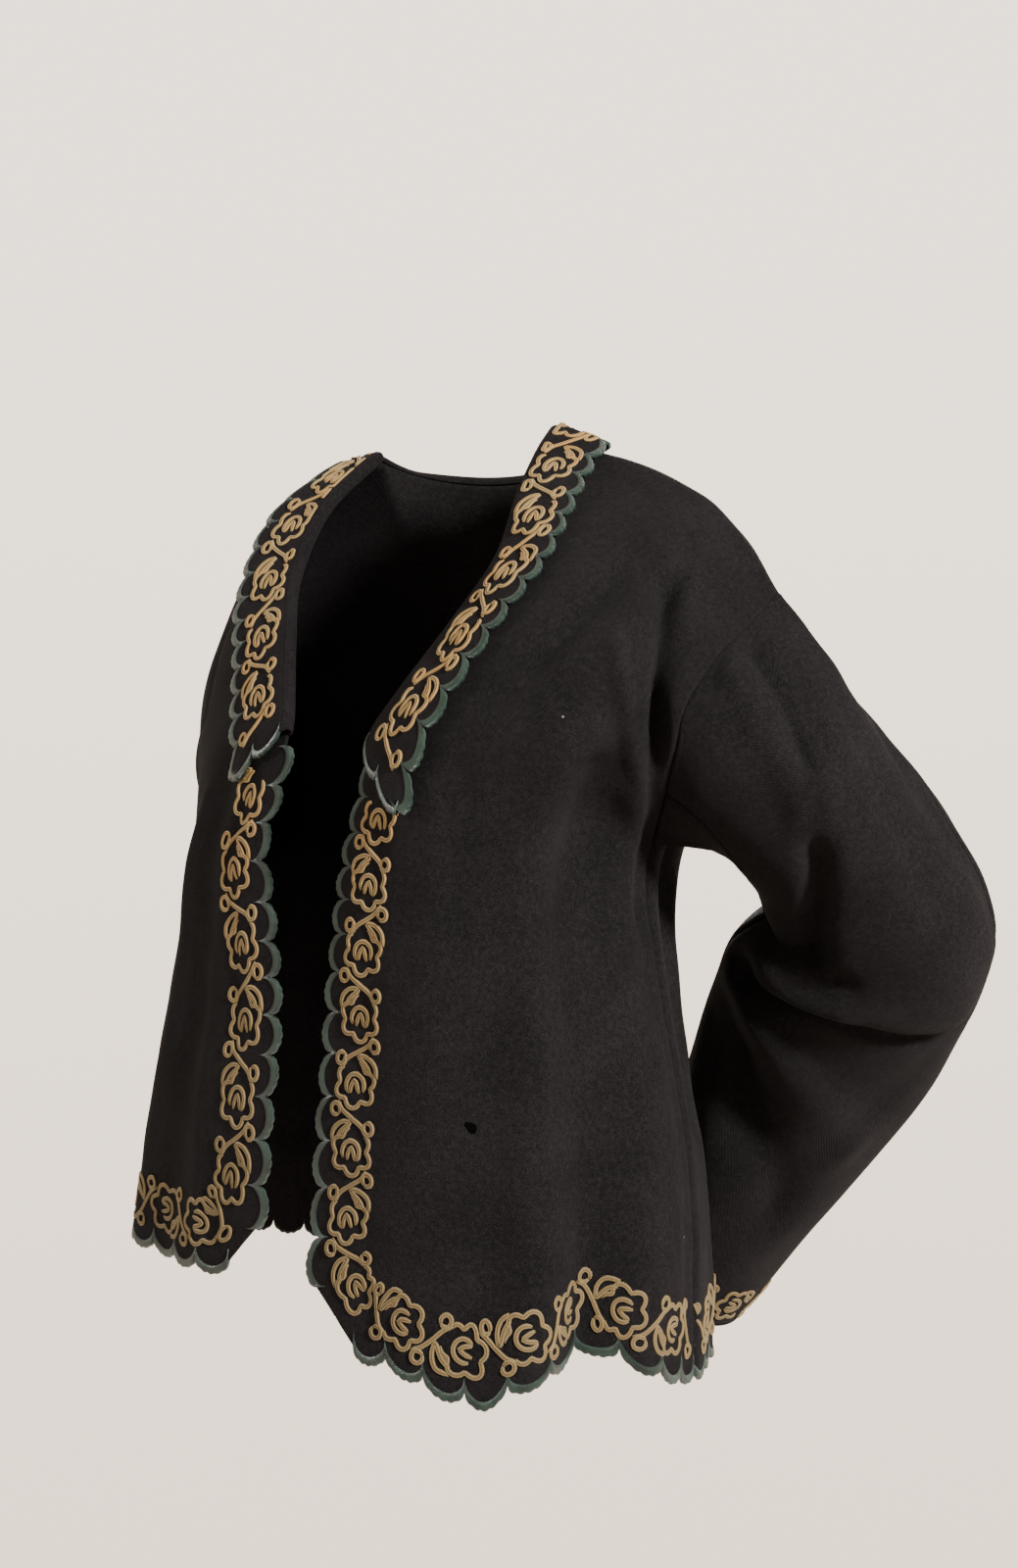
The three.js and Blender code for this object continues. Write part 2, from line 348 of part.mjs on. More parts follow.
/** the collar's half: stations run from the centre back to its front end */
function collarPanel(side, name) {
  const S = new Sheet(name), fr = SURF['front' + side], bk = SURF['back' + side];
  const KB = NECK_COLS, KF = Math.round(V_BREAK * NV), K = KB + KF;
  const speed = (f, a, b, da, db) => len(sub(f(a + da, b + db), f(a, b))) / Math.hypot(da, db);
  /** panel point b mm in from the neck edge at station k, with the panel's normal and the way in */
  const lie = (k, b) => {
    let at, nn;
    if (k < KB) {
      const s0 = S_NECK * k / KB, ph = Math.PI / 2 * (1 - k / KB), ls = speed(bk, s0, 0, 0.02, 0), lv = speed(bk, s0, 0, 0, 0.02);
      at = (x) => bk(Math.min(1, s0 + x * Math.cos(ph) / ls), x * Math.sin(ph) / lv);
      nn = (x) => k > 0 ? normalOf(bk, Math.min(1, s0 + x * Math.cos(ph) / ls), x * Math.sin(ph) / lv, bodyAway)
        : unit(add(normalOf(SURF.back1, 0, x / lv, bodyAway), normalOf(SURF['back-1'], 0, x / lv, bodyAway)));
    } else {
      const v0 = (k - KB) / NV, ls = speed(fr, 0, v0, 0.05, 0), lv = speed(fr, 0, v0, 0, 0.02);
      const drop = (x) => v0 + COLLAR_SLANT[side] * x / lv * ((k - KB) / KF) ** 3;
      at = (x) => fr(x / ls, drop(x));
      nn = (x) => normalOf(fr, x / ls, drop(x), bodyAway);
    }
    const into = unit(sub(at(1.5), at(0)));
    if (b >= 0) return { p: at(b), n: nn(b), into: unit(sub(at(b + 1.5), at(b))) };
    return { p: add(at(0), into, b), n: nn(0), into };
  };
  const width = (k) => look(COLLAR_WIDTH[side], k / K)[0], high = (k) => look(COLLAR_LIE[side], k / K)[0];
  const rise = (k, b) => (high(k) - 5) * Math.max(0, b / width(k)) ** 1.5;
  const put = (k, b, h, mb, mn) => { const q = lie(k, b); return [add(q.p, q.n, h), unit(add([q.into[0] * mb, q.into[1] * mb, q.into[2] * mb], q.n, mn))]; };
  const C = COLLAR_ROLL.length, id = [];
  for (let k = 0; k <= K; k++) {
    id.push([]);
    for (let c = 0; c < C; c++) {
      const a = COLLAR_ROLL[Math.max(0, c - 1)], z = COLLAR_ROLL[Math.min(C - 1, c + 1)];
      const [b, h] = COLLAR_ROLL[c];
      id[k].push(k === K && c > 5 ? -1 : S.point(...put(k, b, h + rise(k, b), a[1] - z[1], z[0] - a[0])));
    }
  }
  for (let k = 0; k < K; k++) for (let c = 0; c < (k < K - 1 ? C - 1 : 5); c++)
    S.cell(id[k][c], id[k][c + 1], id[k + 1][c + 1], id[k + 1][c]);
  const outer = scallops((k, h) => put(k, width(k) + h, high(k), 0, 1)[0], 0, K);
  const b0 = COLLAR_ROLL[5][0], across = (u) => width(K) + (b0 - width(K)) * u;
  const end = scallops((u, h) => {
    const up = high(K) + (COLLAR_ROLL[5][1] - high(K)) * u ** 2;
    const p = put(K, across(u), up, 0, 1)[0], q = put(K - 0.1, across(u), up, 0, 1)[0];
    return h ? add(p, unit(sub(p, q)), h * 0.8) : p;
  }, 0, 1).slice(1, -1);
  const o = outer.map((q) => S.point(q.p, put(q.u, width(q.u), high(q.u), 0, 1)[1]));
  const e = end.map((q) => S.point(q.p, put(K, across(q.u), high(K), 0, 1)[1]));
  const fall = [], low = [];
  for (let k = 0; k < K; k++) fall.push(id[k][C - 1]);
  for (let c = C - 1; c >= 5; c--) low.push(id[K - 1][c]);
  S.zip(fall, fall.map((_, k) => k), o, outer.map((q) => q.u));
  S.zip(low, [0.15, 0.62, 1.01], [o[o.length - 1], ...e, id[K][5]], [0, ...end.map((q) => q.u), 1]);
  return S.turn();
}

// ---- from sheets to walls -------------------------------------------------------------------------
const key = (p) => p.map((x) => Math.round(x * 200)).join(',');
function walls(sheets) {
  const normal = new Map(), edges = new Map();
  for (const S of sheets) {
    S.own = S.p.map(() => [0, 0, 0]);
    for (const [a, b, c] of S.tri) {
      const n = cross(sub(S.p[b], S.p[a]), sub(S.p[c], S.p[a]));
      for (const k of [a, b, c]) {
        S.own[k] = add(S.own[k], n);
        const q = key(S.p[k]);
        normal.set(q, add(normal.get(q) || [0, 0, 0], n));
      }
    }
    const count = new Map();
    for (const t of S.tri) for (let k = 0; k < 3; k++) {
      const a = t[k], b = t[(k + 1) % 3], q = a < b ? a + '_' + b : b + '_' + a;
      count.set(q, [...(count.get(q) || []), [a, b]]);
    }
    S.rim = [...count.values()].filter((l) => l.length === 1).map((l) => l[0]);
    for (const [a, b] of S.rim) { const q = [key(S.p[a]), key(S.p[b])].sort().join('|'); edges.set(q, (edges.get(q) || 0) + 1); }
  }
  const group = new THREE.Group();
  for (const S of sheets) {
    const inward = S.p.map(() => []);
    for (const [a, b] of S.rim) {
      if (edges.get([key(S.p[a]), key(S.p[b])].sort().join('|')) < 2) continue;
      for (const k of [a, b]) inward[k].push(unit(cross(unit(normal.get(key(S.p[k]))), sub(S.p[b], S.p[a]))));
    }
    const n = S.p.length, pos = new Float32Array(n * 6);
    for (let k = 0; k < n; k++) {
      const N = unit(normal.get(key(S.p[k]))), lean = dot(N, unit(S.own[k]));
      const reach = CLOTH / 2 / Math.max(0.72, lean), ease = SEAM_GAP / 2 / Math.max(0.35, lean);
      let p = S.p[k];
      if (inward[k].length === 1) p = add(p, inward[k][0], ease);
      if (inward[k].length > 1) {
        const d = unit(add(inward[k][0], inward[k][1]));
        p = add(p, d, ease / Math.max(0.4, dot(d, inward[k][0])));
      }
      pos.set(add(p, N, reach), k * 3);
      pos.set(add(p, N, -reach), (n + k) * 3);
    }
    const index = [];
    for (const [a, b, c] of S.tri) index.push(a, b, c, n + a, n + c, n + b);
    for (const [a, b] of S.rim) key(S.p[a]) < key(S.p[b]) ? index.push(a, n + a, n + b, a, n + b, b) : index.push(a, n + a, b, b, n + a, n + b);
    const g = new THREE.BufferGeometry();
    g.setAttribute('position', new THREE.BufferAttribute(pos, 3));
    g.setIndex(index);
    g.computeVertexNormals();
    const mesh = new THREE.Mesh(g, new THREE.MeshStandardMaterial({ color: 0x161414, roughness: 0.95, metalness: 0 }));
    mesh.name = S.name;
    group.add(mesh);
  }
  return group;
}

const sheets = [
  frontPanel(1, 'front_left'), frontPanel(-1, 'front_right'), backPanel('back'),
  collarPanel(1, 'collar_left'), collarPanel(-1, 'collar_right'),
  sleevePanel(1, 'sleeve_left_top', SLEEVE_SEAMS[0], SLEEVE_SEAMS[1]), sleevePanel(1, 'sleeve_left_under', SLEEVE_SEAMS[1], SLEEVE_SEAMS[2]),
  sleevePanel(-1, 'sleeve_right_top', SLEEVE_SEAMS[0], SLEEVE_SEAMS[1]), sleevePanel(-1, 'sleeve_right_under', SLEEVE_SEAMS[1], SLEEVE_SEAMS[2]),
];
const group = walls(sheets);
group.name = 'zouave_jacket';
export default group;
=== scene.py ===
"""Looks of the open-front wool jacket: fine cloth, corded flowers, satin-stitched scallops."""

import math

import bpy
import numpy as np
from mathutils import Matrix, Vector


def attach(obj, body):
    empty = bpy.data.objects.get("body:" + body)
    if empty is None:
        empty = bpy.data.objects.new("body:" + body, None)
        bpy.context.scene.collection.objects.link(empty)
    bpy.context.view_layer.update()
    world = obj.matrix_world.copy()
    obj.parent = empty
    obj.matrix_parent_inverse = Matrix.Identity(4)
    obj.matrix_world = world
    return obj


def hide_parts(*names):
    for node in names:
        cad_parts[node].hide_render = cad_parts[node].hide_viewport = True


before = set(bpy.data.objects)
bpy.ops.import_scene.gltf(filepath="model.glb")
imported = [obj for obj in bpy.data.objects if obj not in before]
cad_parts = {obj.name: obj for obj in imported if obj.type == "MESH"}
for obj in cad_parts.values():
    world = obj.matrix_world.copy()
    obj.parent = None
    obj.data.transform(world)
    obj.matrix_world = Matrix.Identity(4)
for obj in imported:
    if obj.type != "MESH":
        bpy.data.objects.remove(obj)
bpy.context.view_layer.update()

# ---- camera first -----------------------------------------------------------------------------
CAMERA_AT = Vector((0.79204, -0.96747, -0.280))
CAMERA_AIM = Vector((0.0235, 0.0162, -0.2141))
camera = bpy.data.objects.new("camera", bpy.data.cameras.new("camera"))
bpy.context.scene.collection.objects.link(camera)
camera.location = CAMERA_AT
camera.rotation_euler = (CAMERA_AIM - CAMERA_AT).to_track_quat("-Z", "Y").to_euler()
camera.data.lens = 43.875           # millimetres
camera.data.sensor_width = 36.0
camera.data.clip_start = 0.05
bpy.context.scene.camera = camera

# ---- named sizes, millimetres -------------------------------------------------------------------
CLOTH = 1.7                 # wall of the shown cloth
ROWS, COLUMNS = 24, 14      # stations of the cut: down a body panel, from its edge to its side seam
BREAK = 11 / 24             # share of the front edge where the collar ends
SCALLOPS_FROM = BREAK + 0.012
UNDERARM = 0.5
SCALLOP, SCALLOP_DEPTH, SCALLOP_POWER = 24.5, 8.0, 0.55
NOTCH = 0.5                 # the cloth ends this far inside the notches, under the satin
END_SCALLOP = 0.8           # scallops at the collar's end, over those on its length
FALL_FROM = 0.8             # where the collar's roll turns to the fall, in from the neck edge
WAIST = np.array((0, 0, -300))
NECK_STATIONS = 4
NECK_SHARE = NECK_STATIONS / COLUMNS
LAPEL_STATIONS = 11
COLLAR_STATIONS = NECK_STATIONS + LAPEL_STATIONS
STATION_MM = 22             # cloth between two collar stations
TOP_SHARE = 0.30            # how far down the top lines draw the plain surfaces to them
PANEL_MM = {"front": (270.0, 560.0), "back": (250.0, 560.0), "sleeve": (390.0, 520.0)}

# tables' keys are the sides, 1 for the wearer's left and -1 for the right. Rows start with a share: down the
# panel from neck to hem, or along a seam. Then come millimetres: x, y, z of the panel's front edge, of its side
# line and of the centre back; for the armhole the offsets x, y of the front and of the back from the side line.
EDGE = {
    1: [(0, 71, 3, 7), (.1, 80, -36, -38), (.205, 89, -70, -86), (.31, 79, -102, -130), (.395, 62, -127, -170),
        (.4583, 49, -141, -200), (.52, 42, -147, -236), (.58, 35, -149, -268), (.66, 29, -150, -310),
        (.76, 23, -150, -372), (.86, 20, -153, -440), (.94, 19, -157, -500), (1, 18, -159, -546)],
    -1: [(0, -78, 3, 11), (.1, -91, -36, -30), (.205, -84, -72, -82), (.31, -62, -99, -127), (.395, -43, -119, -164),
        (.4583, -32, -132, -189), (.52, -37, -139, -224), (.58, -47, -142, -257), (.66, -38, -144, -305),
        (.76, -30, -147, -360), (.86, -34, -150, -421), (.94, -38, -150, -474), (1, -42, -149, -512)],
}
SIDE = {
    1: [(0, 230, 8, -108), (.1, 226, -2, -138), (.2, 219, -8, -166), (.3, 206, -12, -192), (.4, 188, -12, -222),
        (.5, 168, -8, -256), (.58, 160, -8, -290), (.66, 161, -8, -330), (.76, 168, -8, -390), (.86, 177, -8, -450),
        (.94, 180, -8, -512), (1, 179, -8, -562)],
    -1: [(0, -218, 8, -110), (.1, -213, 0, -140), (.2, -205, -6, -168), (.3, -198, -10, -196), (.4, -193, -10, -228),
        (.5, -190, -8, -262), (.58, -195, -8, -296), (.66, -203, -8, -332), (.76, -215, -8, -384),
        (.86, -225, -8, -436), (.94, -232, -8, -479), (1, -238, -8, -514)],
}
ARMHOLE = {
    1: [(0, 0, 0, 0, 0), (.08, -1, -22, 0, 28), (.16, -2, -44, -1, 48), (.26, 3, -58, -1, 62), (.36, 6, -48, 2, 52),
        (.44, -2, -26, -6, 28), (.5, -16, 0, -16, 0), (.58, -12, 0, -12, 0), (.66, -6, 0, -6, 0), (.76, -1, 0, -1, 0),
        (.86, 0, 0, 0, 0), (1, 0, 0, 0, 0)],
    -1: [(0, 0, 0, 0, 0), (.08, -2, -16, 0, 26), (.16, 2, -28, 0, 46), (.26, 2, -36, 2, 58), (.36, 4, -28, 4, 50),
        (.44, 5, -14, 5, 26), (.5, 6, 0, 6, 0), (.58, 5, 0, 5, 0), (.66, 3, 0, 3, 0), (.76, 1, 0, 1, 0),
        (.86, 0, 0, 0, 0), (1, 0, 0, 0, 0)],
}
CENTRE_BACK = [(0, -2, 66, -4), (.1, -4, 84, -50), (.2, -6, 97, -100), (.3, -8, 102, -150), (.4, -10, 101, -200),
    (.5, -12, 98, -255), (.6, -14, 94, -310), (.7, -16, 92, -368), (.8, -18, 94, -425), (.9, -20, 100, -485),
    (1, -22, 107, -545)]
# rise of the shoulder seam over a straight line; hollow of the chest filled out; rise of the front's hem
SHOULDER = {
    1: [(0, 0), (.18, 8), (.48, 23), (.7, 27), (.82, 23), (.92, 12), (1, 0)],
    -1: [(0, 0), (.18, 17), (.48, 42), (.7, 48), (.82, 42), (.92, 22), (1, 0)],
}
CHEST = [(0, 0), (.1, 12), (.2, 26), (.3, 30), (.4, 26), (.5, 19), (.6, 12), (.75, 6), (1, 0)]
CHEST_SHARE = {1: 1.0, -1: 0.1}
# how square the rounded section across a panel is: the exponent of a superellipse, 2 for an ellipse
ROUND_FRONT = {
    1: [(0, 2), (.3, 2.05), (.5, 2.3), (.75, 2.45), (1, 2.5)],
    -1: [(0, 2), (.3, 2), (.5, 2.1), (.75, 2.3), (1, 2.45)],
}
ROUND_BACK = {
    1: [(0, 2), (.3, 1.95), (.5, 1.85), (1, 1.8)],
    -1: [(0, 2), (.3, 2), (.5, 1.95), (1, 1.95)],
}
HEM = {
    1: [(0, 0), (.12, 6), (.22, 6), (.32, -3), (.42, -8), (.5, 3), (.58, 10), (.68, 20), (.78, 12), (.88, 4), (1, 0)],
    -1: [(0, 4), (.2, 4), (.5, 9), (.8, 4), (1, 0)],
}
# shares down and across at which the lower front corner is cut off straight
CORNER = {1: (0.955, 0.12), -1: (0.965, 0.07)}
# share down the sleeve; x, y, z of the ring's middle; its half widths out, in, forward and back; turn in degrees
SLEEVE = {
    1: [(0, 193, 0, -182, 83, 83, 66, 56, 0), (.07, 210, 4, -190, 73, 76, 64, 57, 3),
        (.14, 223, 15, -201, 63, 70, 62, 57, 8), (.28, 240, 44, -228, 51, 66, 58, 56, 20),
        (.42, 251, 78, -264, 53, 70, 58, 60, 30), (.52, 250, 104, -304, 64, 71, 58, 58, 32),
        (.64, 220, 130, -344, 67, 88, 54, 54, 34), (.76, 180, 147, -392, 68, 82, 52, 50, 34),
        (.88, 117, 160, -474, 56, 62, 48, 46, 34), (1, 58, 168, -550, 47, 48, 46, 44, 34)],
    -1: [(0, -199, 0, -186, 78, 78, 40, 50, 0), (.07, -211, 10, -194, 68, 71, 43, 50, 3),
        (.14, -220, 26, -208, 58, 59, 46, 51, 6), (.3, -236, 56, -256, 48, 46, 48, 52, 16),
        (.45, -250, 68, -314, 46, 44, 48, 50, 24), (.6, -260, 72, -369, 46, 44, 48, 50, 28),
        (.75, -265, 69, -422, 45, 43, 47, 49, 30), (.88, -266, 60, -468, 44, 42, 46, 47, 30),
        (1, -263, 48, -510, 43, 41, 45, 46, 30)],
}
# directions: of a ring's outer point down the arm, of the arm where it starts, and of the first ring's outer point
ARM_OUT = {1: (0.90, 0.43, 0), -1: (-0.94, 0.34, 0)}
ARM_START = {1: (0.88, 0.04, -0.47), -1: (-0.96, 0.04, -0.25)}
ARM_TIP = {1: (0.445, 0.1, 0.89), -1: (-0.24, 0.1, 0.97)}
ARM_BEND = 0.42             # share of the sleeve over which the first ring's direction dies out
TOP_SEAMS, UNDER_SEAMS = (-2 / 24, 10 / 24), (10 / 24, 22 / 24)
# share along the collar; its width, and how far its outer edge stands off
COLLAR_WIDTH = {
    1: [(0, 34), (.3, 35), (.6, 44), (.85, 48), (1, 47)],
    -1: [(0, 34), (.3, 33), (.6, 36), (.85, 41), (1, 43)],
}
COLLAR_LIE = {
    1: [(0, 6), (.25, 6.5), (.5, 5.5), (.8, 7), (1, 8)],
    -1: [(0, 6), (.15, 8), (.28, 12), (.42, 17), (.6, 12), (.8, 6), (1, 5)],
}
# the roll's section: step, millimetres in from the neck edge, height
COLLAR_ROLL = [(0, -.9, 0), (1, -2.6, .5), (2, -4.2, 2.2), (3, -4.5, 4.6), (4, -2.6, 6.7), (5, .8, 7.4)]
COLLAR_FALL = (FALL_FROM, 9, 21, 34), (7.4, 6.6, 5.6, 5.0)      # millimetres in, and height over the panel there
COLLAR_SLANT = {1: 0.75, -1: 0.45}
HOLE = {"s": 0.398, "v": 0.812, "radius": 3.6}

# folds: middle line as three points (across, down), half width in mm, height in mm (minus is a trough)
FOLDS = {
    "front1": [(.8, .2, .93, .4, .97, .6, 14, -6), (.8, .36, .8, .7, .66, 1.05, 24, -10),
        (.66, .4, .62, .75, .5, 1.05, 26, 6), (.93, .75, .92, .85, .89, 1.05, 16, 4),
        (.5, .14, .44, .24, .36, .37, 17, -5), (.3, .55, .28, .8, .28, 1.05, 30, 3)],
    "front-1": [(.22, .48, .24, .7, .3, 1, 18, -5), (.5, .55, .54, .78, .6, 1.05, 26, -4),
        (.8, .22, .88, .42, .85, .62, 14, -5)],
    "back1": [(.32, .45, .34, .7, .38, 1.05, 24, -8), (.6, .4, .62, .7, .66, 1.05, 26, 6),
        (.82, .2, .84, .45, .84, .8, 18, -7)],
    "back-1": [(.26, .5, .24, .75, .2, 1.05, 26, -7), (.55, .42, .52, .7, .5, 1.05, 26, 6),
        (.8, .24, .82, .5, .78, .9, 18, -7)],
    "sleeve1": [(.08, .05, .11, .12, .14, .2, 14, -5), (.12, .12, .17, .22, .2, .34, 16, 4),
        (.22, .32, .25, .42, .28, .5, 12, -6), (.34, .63, .22, .535, .05, .56, 13, -8),
        (.27, .7, .22, .75, .17, .81, 17, 5), (.33, .73, .29, .78, .22, .82, 14, -5),
        (.72, .2, .76, .32, .8, .46, 16, -5), (.7, .6, .78, .56, .9, .57, 13, -6)],
    "sleeve-1": [(.06, .1, .1, .3, .12, .45, 16, -4), (.02, .5, .22, .55, .42, .5, 12, -5),
        (.6, .52, .75, .6, .9, .55, 13, -5), (.3, .62, .32, .75, .34, .9, 18, 4)],
}
# creases: the finer folds that the cloth shows on top of the large ones, written the same way
CREASES = {
    "front1": [(.62, .145, .8, .245, .955, .37, 12, -13), (.6, .26, .74, .33, .88, .42, 10, 4.5),
        (.44, .12, .43, .22, .4, .33, 8, -2.6), (.12, .02, .2, .03, .34, .045, 6, -1.8),
        (.52, .05, .6, .1, .66, .17, 9, -2), (.72, .44, .655, .66, .63, 1, 18, -10),
        (.9, .46, .83, .67, .79, 1, 20, 11), (.6, .42, .57, .66, .52, .97, 18, 4.5),
        (.15, .55, .13, .75, .15, .98, 11, -1.2), (.34, .42, .4, .55, .38, .72, 12, -1.2)],
    "front-1": [(.1, .5, .12, .62, .1, .78, 9, -2), (.34, .5, .38, .72, .44, 1, 9, 2),
        (.62, .45, .66, .7, .72, 1, 10, -2.4), (.3, .1, .44, .2, .5, .34, 10, -2.2),
        (.7, .12, .8, .24, .9, .38, 8, -3), (.2, .7, .2, .85, .16, 1, 8, 1.6)],
    "back1": [(.1, .3, .24, .42, .3, .58, 12, -2.4), (.45, .5, .48, .72, .52, 1, 10, -2.4),
        (.7, .12, .82, .26, .92, .42, 8, -3.5), (.22, .6, .2, .8, .18, 1, 10, 2),
        (.74, .55, .75, .75, .76, 1, 9, 2.4), (.1, .07, .26, .1, .42, .16, 11, -1.8)],
    "back-1": [(.12, .28, .26, .4, .34, .55, 12, -2.4), (.4, .52, .42, .74, .38, 1, 10, -2.2),
        (.72, .14, .84, .28, .92, .44, 8, -3.2), (.1, .62, .11, .8, .1, 1, 10, 2),
        (.66, .52, .66, .74, .64, 1, 9, 2.4), (.14, .06, .3, .1, .46, .15, 11, -1.6)],
    "sleeve1": [(.079, 0, .135, .114, .175, .21, 7, -6), (.15, .02, .205, .12, .225, .24, 10, 4),
        (.23, .3, .252, .39, .29, .49, 9, -6), (.3, .6, .18, .55, .05, .56, 16, 13),
        (.33, .655, .2, .6, .07, .61, 9, -7), (.28, .77, .21, .8, .11, .86, 15, -10),
        (.25, .7, .17, .75, .07, .79, 12, 5), (.3, .58, .2, .48, .1, .47, 8, 2),
        (.05, .2, .07, .32, .05, .46, 10, -1.8), (.36, .76, .3, .84, .22, .92, 8, -2.4),
        (.02, .6, .06, .7, .1, .8, 10, -1.6), (.95, .2, .97, .34, .93, .5, 10, -2),
        (.6, .66, .7, .62, .84, .63, 8, 2.6), (.55, .1, .62, .2, .7, .28, 8, -2.4),
        (.5, .56, .62, .52, .78, .5, 8, -3)],
    "sleeve-1": [(.08, .06, .13, .18, .14, .34, 8, -2.4), (.04, .47, .2, .51, .38, .47, 6, -2.4),
        (.04, .56, .2, .6, .4, .56, 8, 2.2), (.55, .14, .62, .26, .66, .4, 9, -2.2),
        (.62, .48, .76, .54, .9, .5, 6, -2.2), (.2, .72, .24, .84, .22, .96, 9, -1.8),
        (.84, .64, .86, .78, .84, .94, 10, 2)],
}


# ---- small maths on whole arrays ----------------------------------------------------------------
def unit(a):
    """each vector over its own length"""
    return a / (np.linalg.norm(a, axis=-1, keepdims=True) + 1e-12)


def look(table, v):
    """smooth cubic through a table's rows, with the slope at a row taken across its neighbours"""
    rows = np.asarray(table, float)
    x, y = rows[:, 0], rows[:, 1:]
    v = np.asarray(v, float)
    i = np.clip(np.searchsorted(x, v, side="right") - 1, 0, len(x) - 2)
    m = np.empty_like(y)
    m[1:-1] = (y[2:] - y[:-2]) / (x[2:] - x[:-2])[:, None]
    m[0], m[-1] = (y[1] - y[0]) / (x[1] - x[0]), (y[-1] - y[-2]) / (x[-1] - x[-2])
    h = (x[i + 1] - x[i])[..., None]
    t = (v - x[i])[..., None] / h
    return ((2 * t**3 - 3 * t**2 + 1) * y[i] + (t**3 - 2 * t**2 + t) * h * m[i]
            + (3 * t**2 - 2 * t**3) * y[i + 1] + (t**3 - t**2) * h * m[i + 1])


def read(table, v):
    """look for a table with one value in a row"""
    return look(table, v)[..., 0]


def run_along(p):
    """length of a line of points up to each one"""
    return np.concatenate([[0], np.cumsum(np.linalg.norm(np.diff(p, axis=0), axis=1))])


def ramp(a, b, x):
    """0 before a, 1 after b, smooth between"""
    t = np.clip((x - a) / (b - a), 0, 1)
    return t * t * (3 - 2 * t)


def quarter(s, n):
    """a quarter of a rounded section: sine and cosine pushed out to the exponent n"""
    sn, cs = np.abs(np.sin(s * np.pi / 2)), np.abs(np.cos(s * np.pi / 2))
    r = (sn**n + cs**n) ** (-1 / n)
    return r * sn, r * cs


def section(mid, side, s, n):
    """from the panel's middle line to its side line round a rounded quarter"""
    cx, cy = quarter(s, n)
    return np.stack([mid[..., 0] + (side[..., 0] - mid[..., 0]) * cx, side[..., 1] + (mid[..., 1] - side[..., 1]) * cy,
                     mid[..., 2] + (side[..., 2] - mid[..., 2]) * np.abs(s) ** 1.3], -1)


def fold_height(rows, across, down, size, wraps):
    """sum of soft ridges: height times exp(-(distance to the fold's line / half width) squared)"""
    total = np.zeros(np.broadcast(across, down).shape)
    for a0, b0, a1, b1, a2, b2, half, height in rows:
        best = np.full(total.shape, 1e9)
        for xa, ya, xb, yb in ((a0, b0, a1, b1), (a1, b1, a2, b2)):
            for turn in ((-1, 0, 1) if wraps else (0,)):
                px, py = (across + turn) * size[0], down * size[1]
                ax, ay = xa * size[0], ya * size[1]
                dx, dy = xb * size[0] - ax, yb * size[1] - ay
                k = np.clip(((px - ax) * dx + (py - ay) * dy) / (dx * dx + dy * dy), 0, 1)
                best = np.minimum(best, (px - ax - k * dx) ** 2 + (py - ay - k * dy) ** 2)
        total += height * np.exp(-best / half**2)
    return total


def softness(p):
    """slow unevenness of worn cloth: a few long waves in crossing directions, under half a millimetre"""
    waves = ((.061, .083, .047, .3), (-.092, .037, .071, 1.7), (.033, -.118, .052, 4.1), (.142, .021, -.089, 2.2),
             (-.051, -.073, .131, 5.0))
    return sum(0.16 * np.sin(p[..., 0] * a + p[..., 1] * b + p[..., 2] * c + d) for a, b, c, d in waves)


# ---- the panels' surfaces -------------------------------------------------------------------------
def shoulder_seam(side, q):
    """straight line from neck point to shoulder tip, lifted by the shoulder table"""
    a, b = look(EDGE[side], np.zeros_like(q)), look(SIDE[side], np.zeros_like(q))
    p = a + (b - a) * q[..., None]
    p[..., 2] += read(SHOULDER[side], q)
    return p


def arm_offset(side, v):
    """armhole's offsets above the underarm; below it front and back share the side seam"""
    o = look(ARMHOLE[side], v)
    low = np.stack([o[..., 0], 0 * v, o[..., 0], 0 * v], -1)
    return np.where((v < UNDERARM)[..., None], o, low)


def top_hold(v):
    """how strongly a panel's top line draws the plain surface to it"""
    return np.maximum(0, 1 - v / TOP_SHARE) ** 2


def side_pull(s):
    """how far across a panel the armhole's offset reaches"""
    return 0.25 * s + 0.75 * s**4


def front_plain(side, s, v):
    """rounded section from edge line to side line, pulled to the armhole, chest filled, shoulder laid on its seam"""
    s, v = np.broadcast_arrays(s, v)
    p = section(look(EDGE[side], v), look(SIDE[side], v), s, read(ROUND_FRONT[side], v))
    o, w = arm_offset(side, v), side_pull(s)
    p[..., 0] += o[..., 0] * w
    p[..., 1] += o[..., 1] * w - read(CHEST, v) * 4 * s * (1 - s) * CHEST_SHARE[side]
    p[..., 2] += read(HEM[side], s) * ramp(0.6, 1, v)
    zero = 0 * s
    top = shoulder_seam(side, quarter(s, 2)[0]) - section(look(EDGE[side], zero), look(SIDE[side], zero), s, 2)
    return p + top * top_hold(v)[..., None]


def back_plain(side, s, v):
    """rounded section from centre back to side line; the top follows the neck curve, then the shoulder seam"""
    s, v = np.broadcast_arrays(s, v)
    p = section(look(CENTRE_BACK, v), look(SIDE[side], v), s, read(ROUND_BACK[side], v))
    o, w = arm_offset(side, v), side_pull(s)
    p[..., 0] += o[..., 2] * w
    p[..., 1] += o[..., 3] * w
    zero = 0 * s
    c0, neck = look(CENTRE_BACK, zero), shoulder_seam(side, zero)
    k = np.minimum(s / NECK_SHARE, 1) * np.pi / 2
    curve = np.stack([c0[..., 0] + (neck[..., 0] - c0[..., 0]) * np.sin(k),
                      neck[..., 1] + (c0[..., 1] - neck[..., 1]) * np.cos(k),
                      c0[..., 2] + (neck[..., 2] - c0[..., 2]) * (1 - np.cos(k))], -1)
    seam = shoulder_seam(side, np.sin(np.clip((s - NECK_SHARE) / (1 - NECK_SHARE), 0, 1) * np.pi / 2))
    top = np.where((s < NECK_SHARE)[..., None], curve, seam)
    return p + (top - section(c0, look(SIDE[side], zero), s, 2)) * top_hold(v)[..., None]


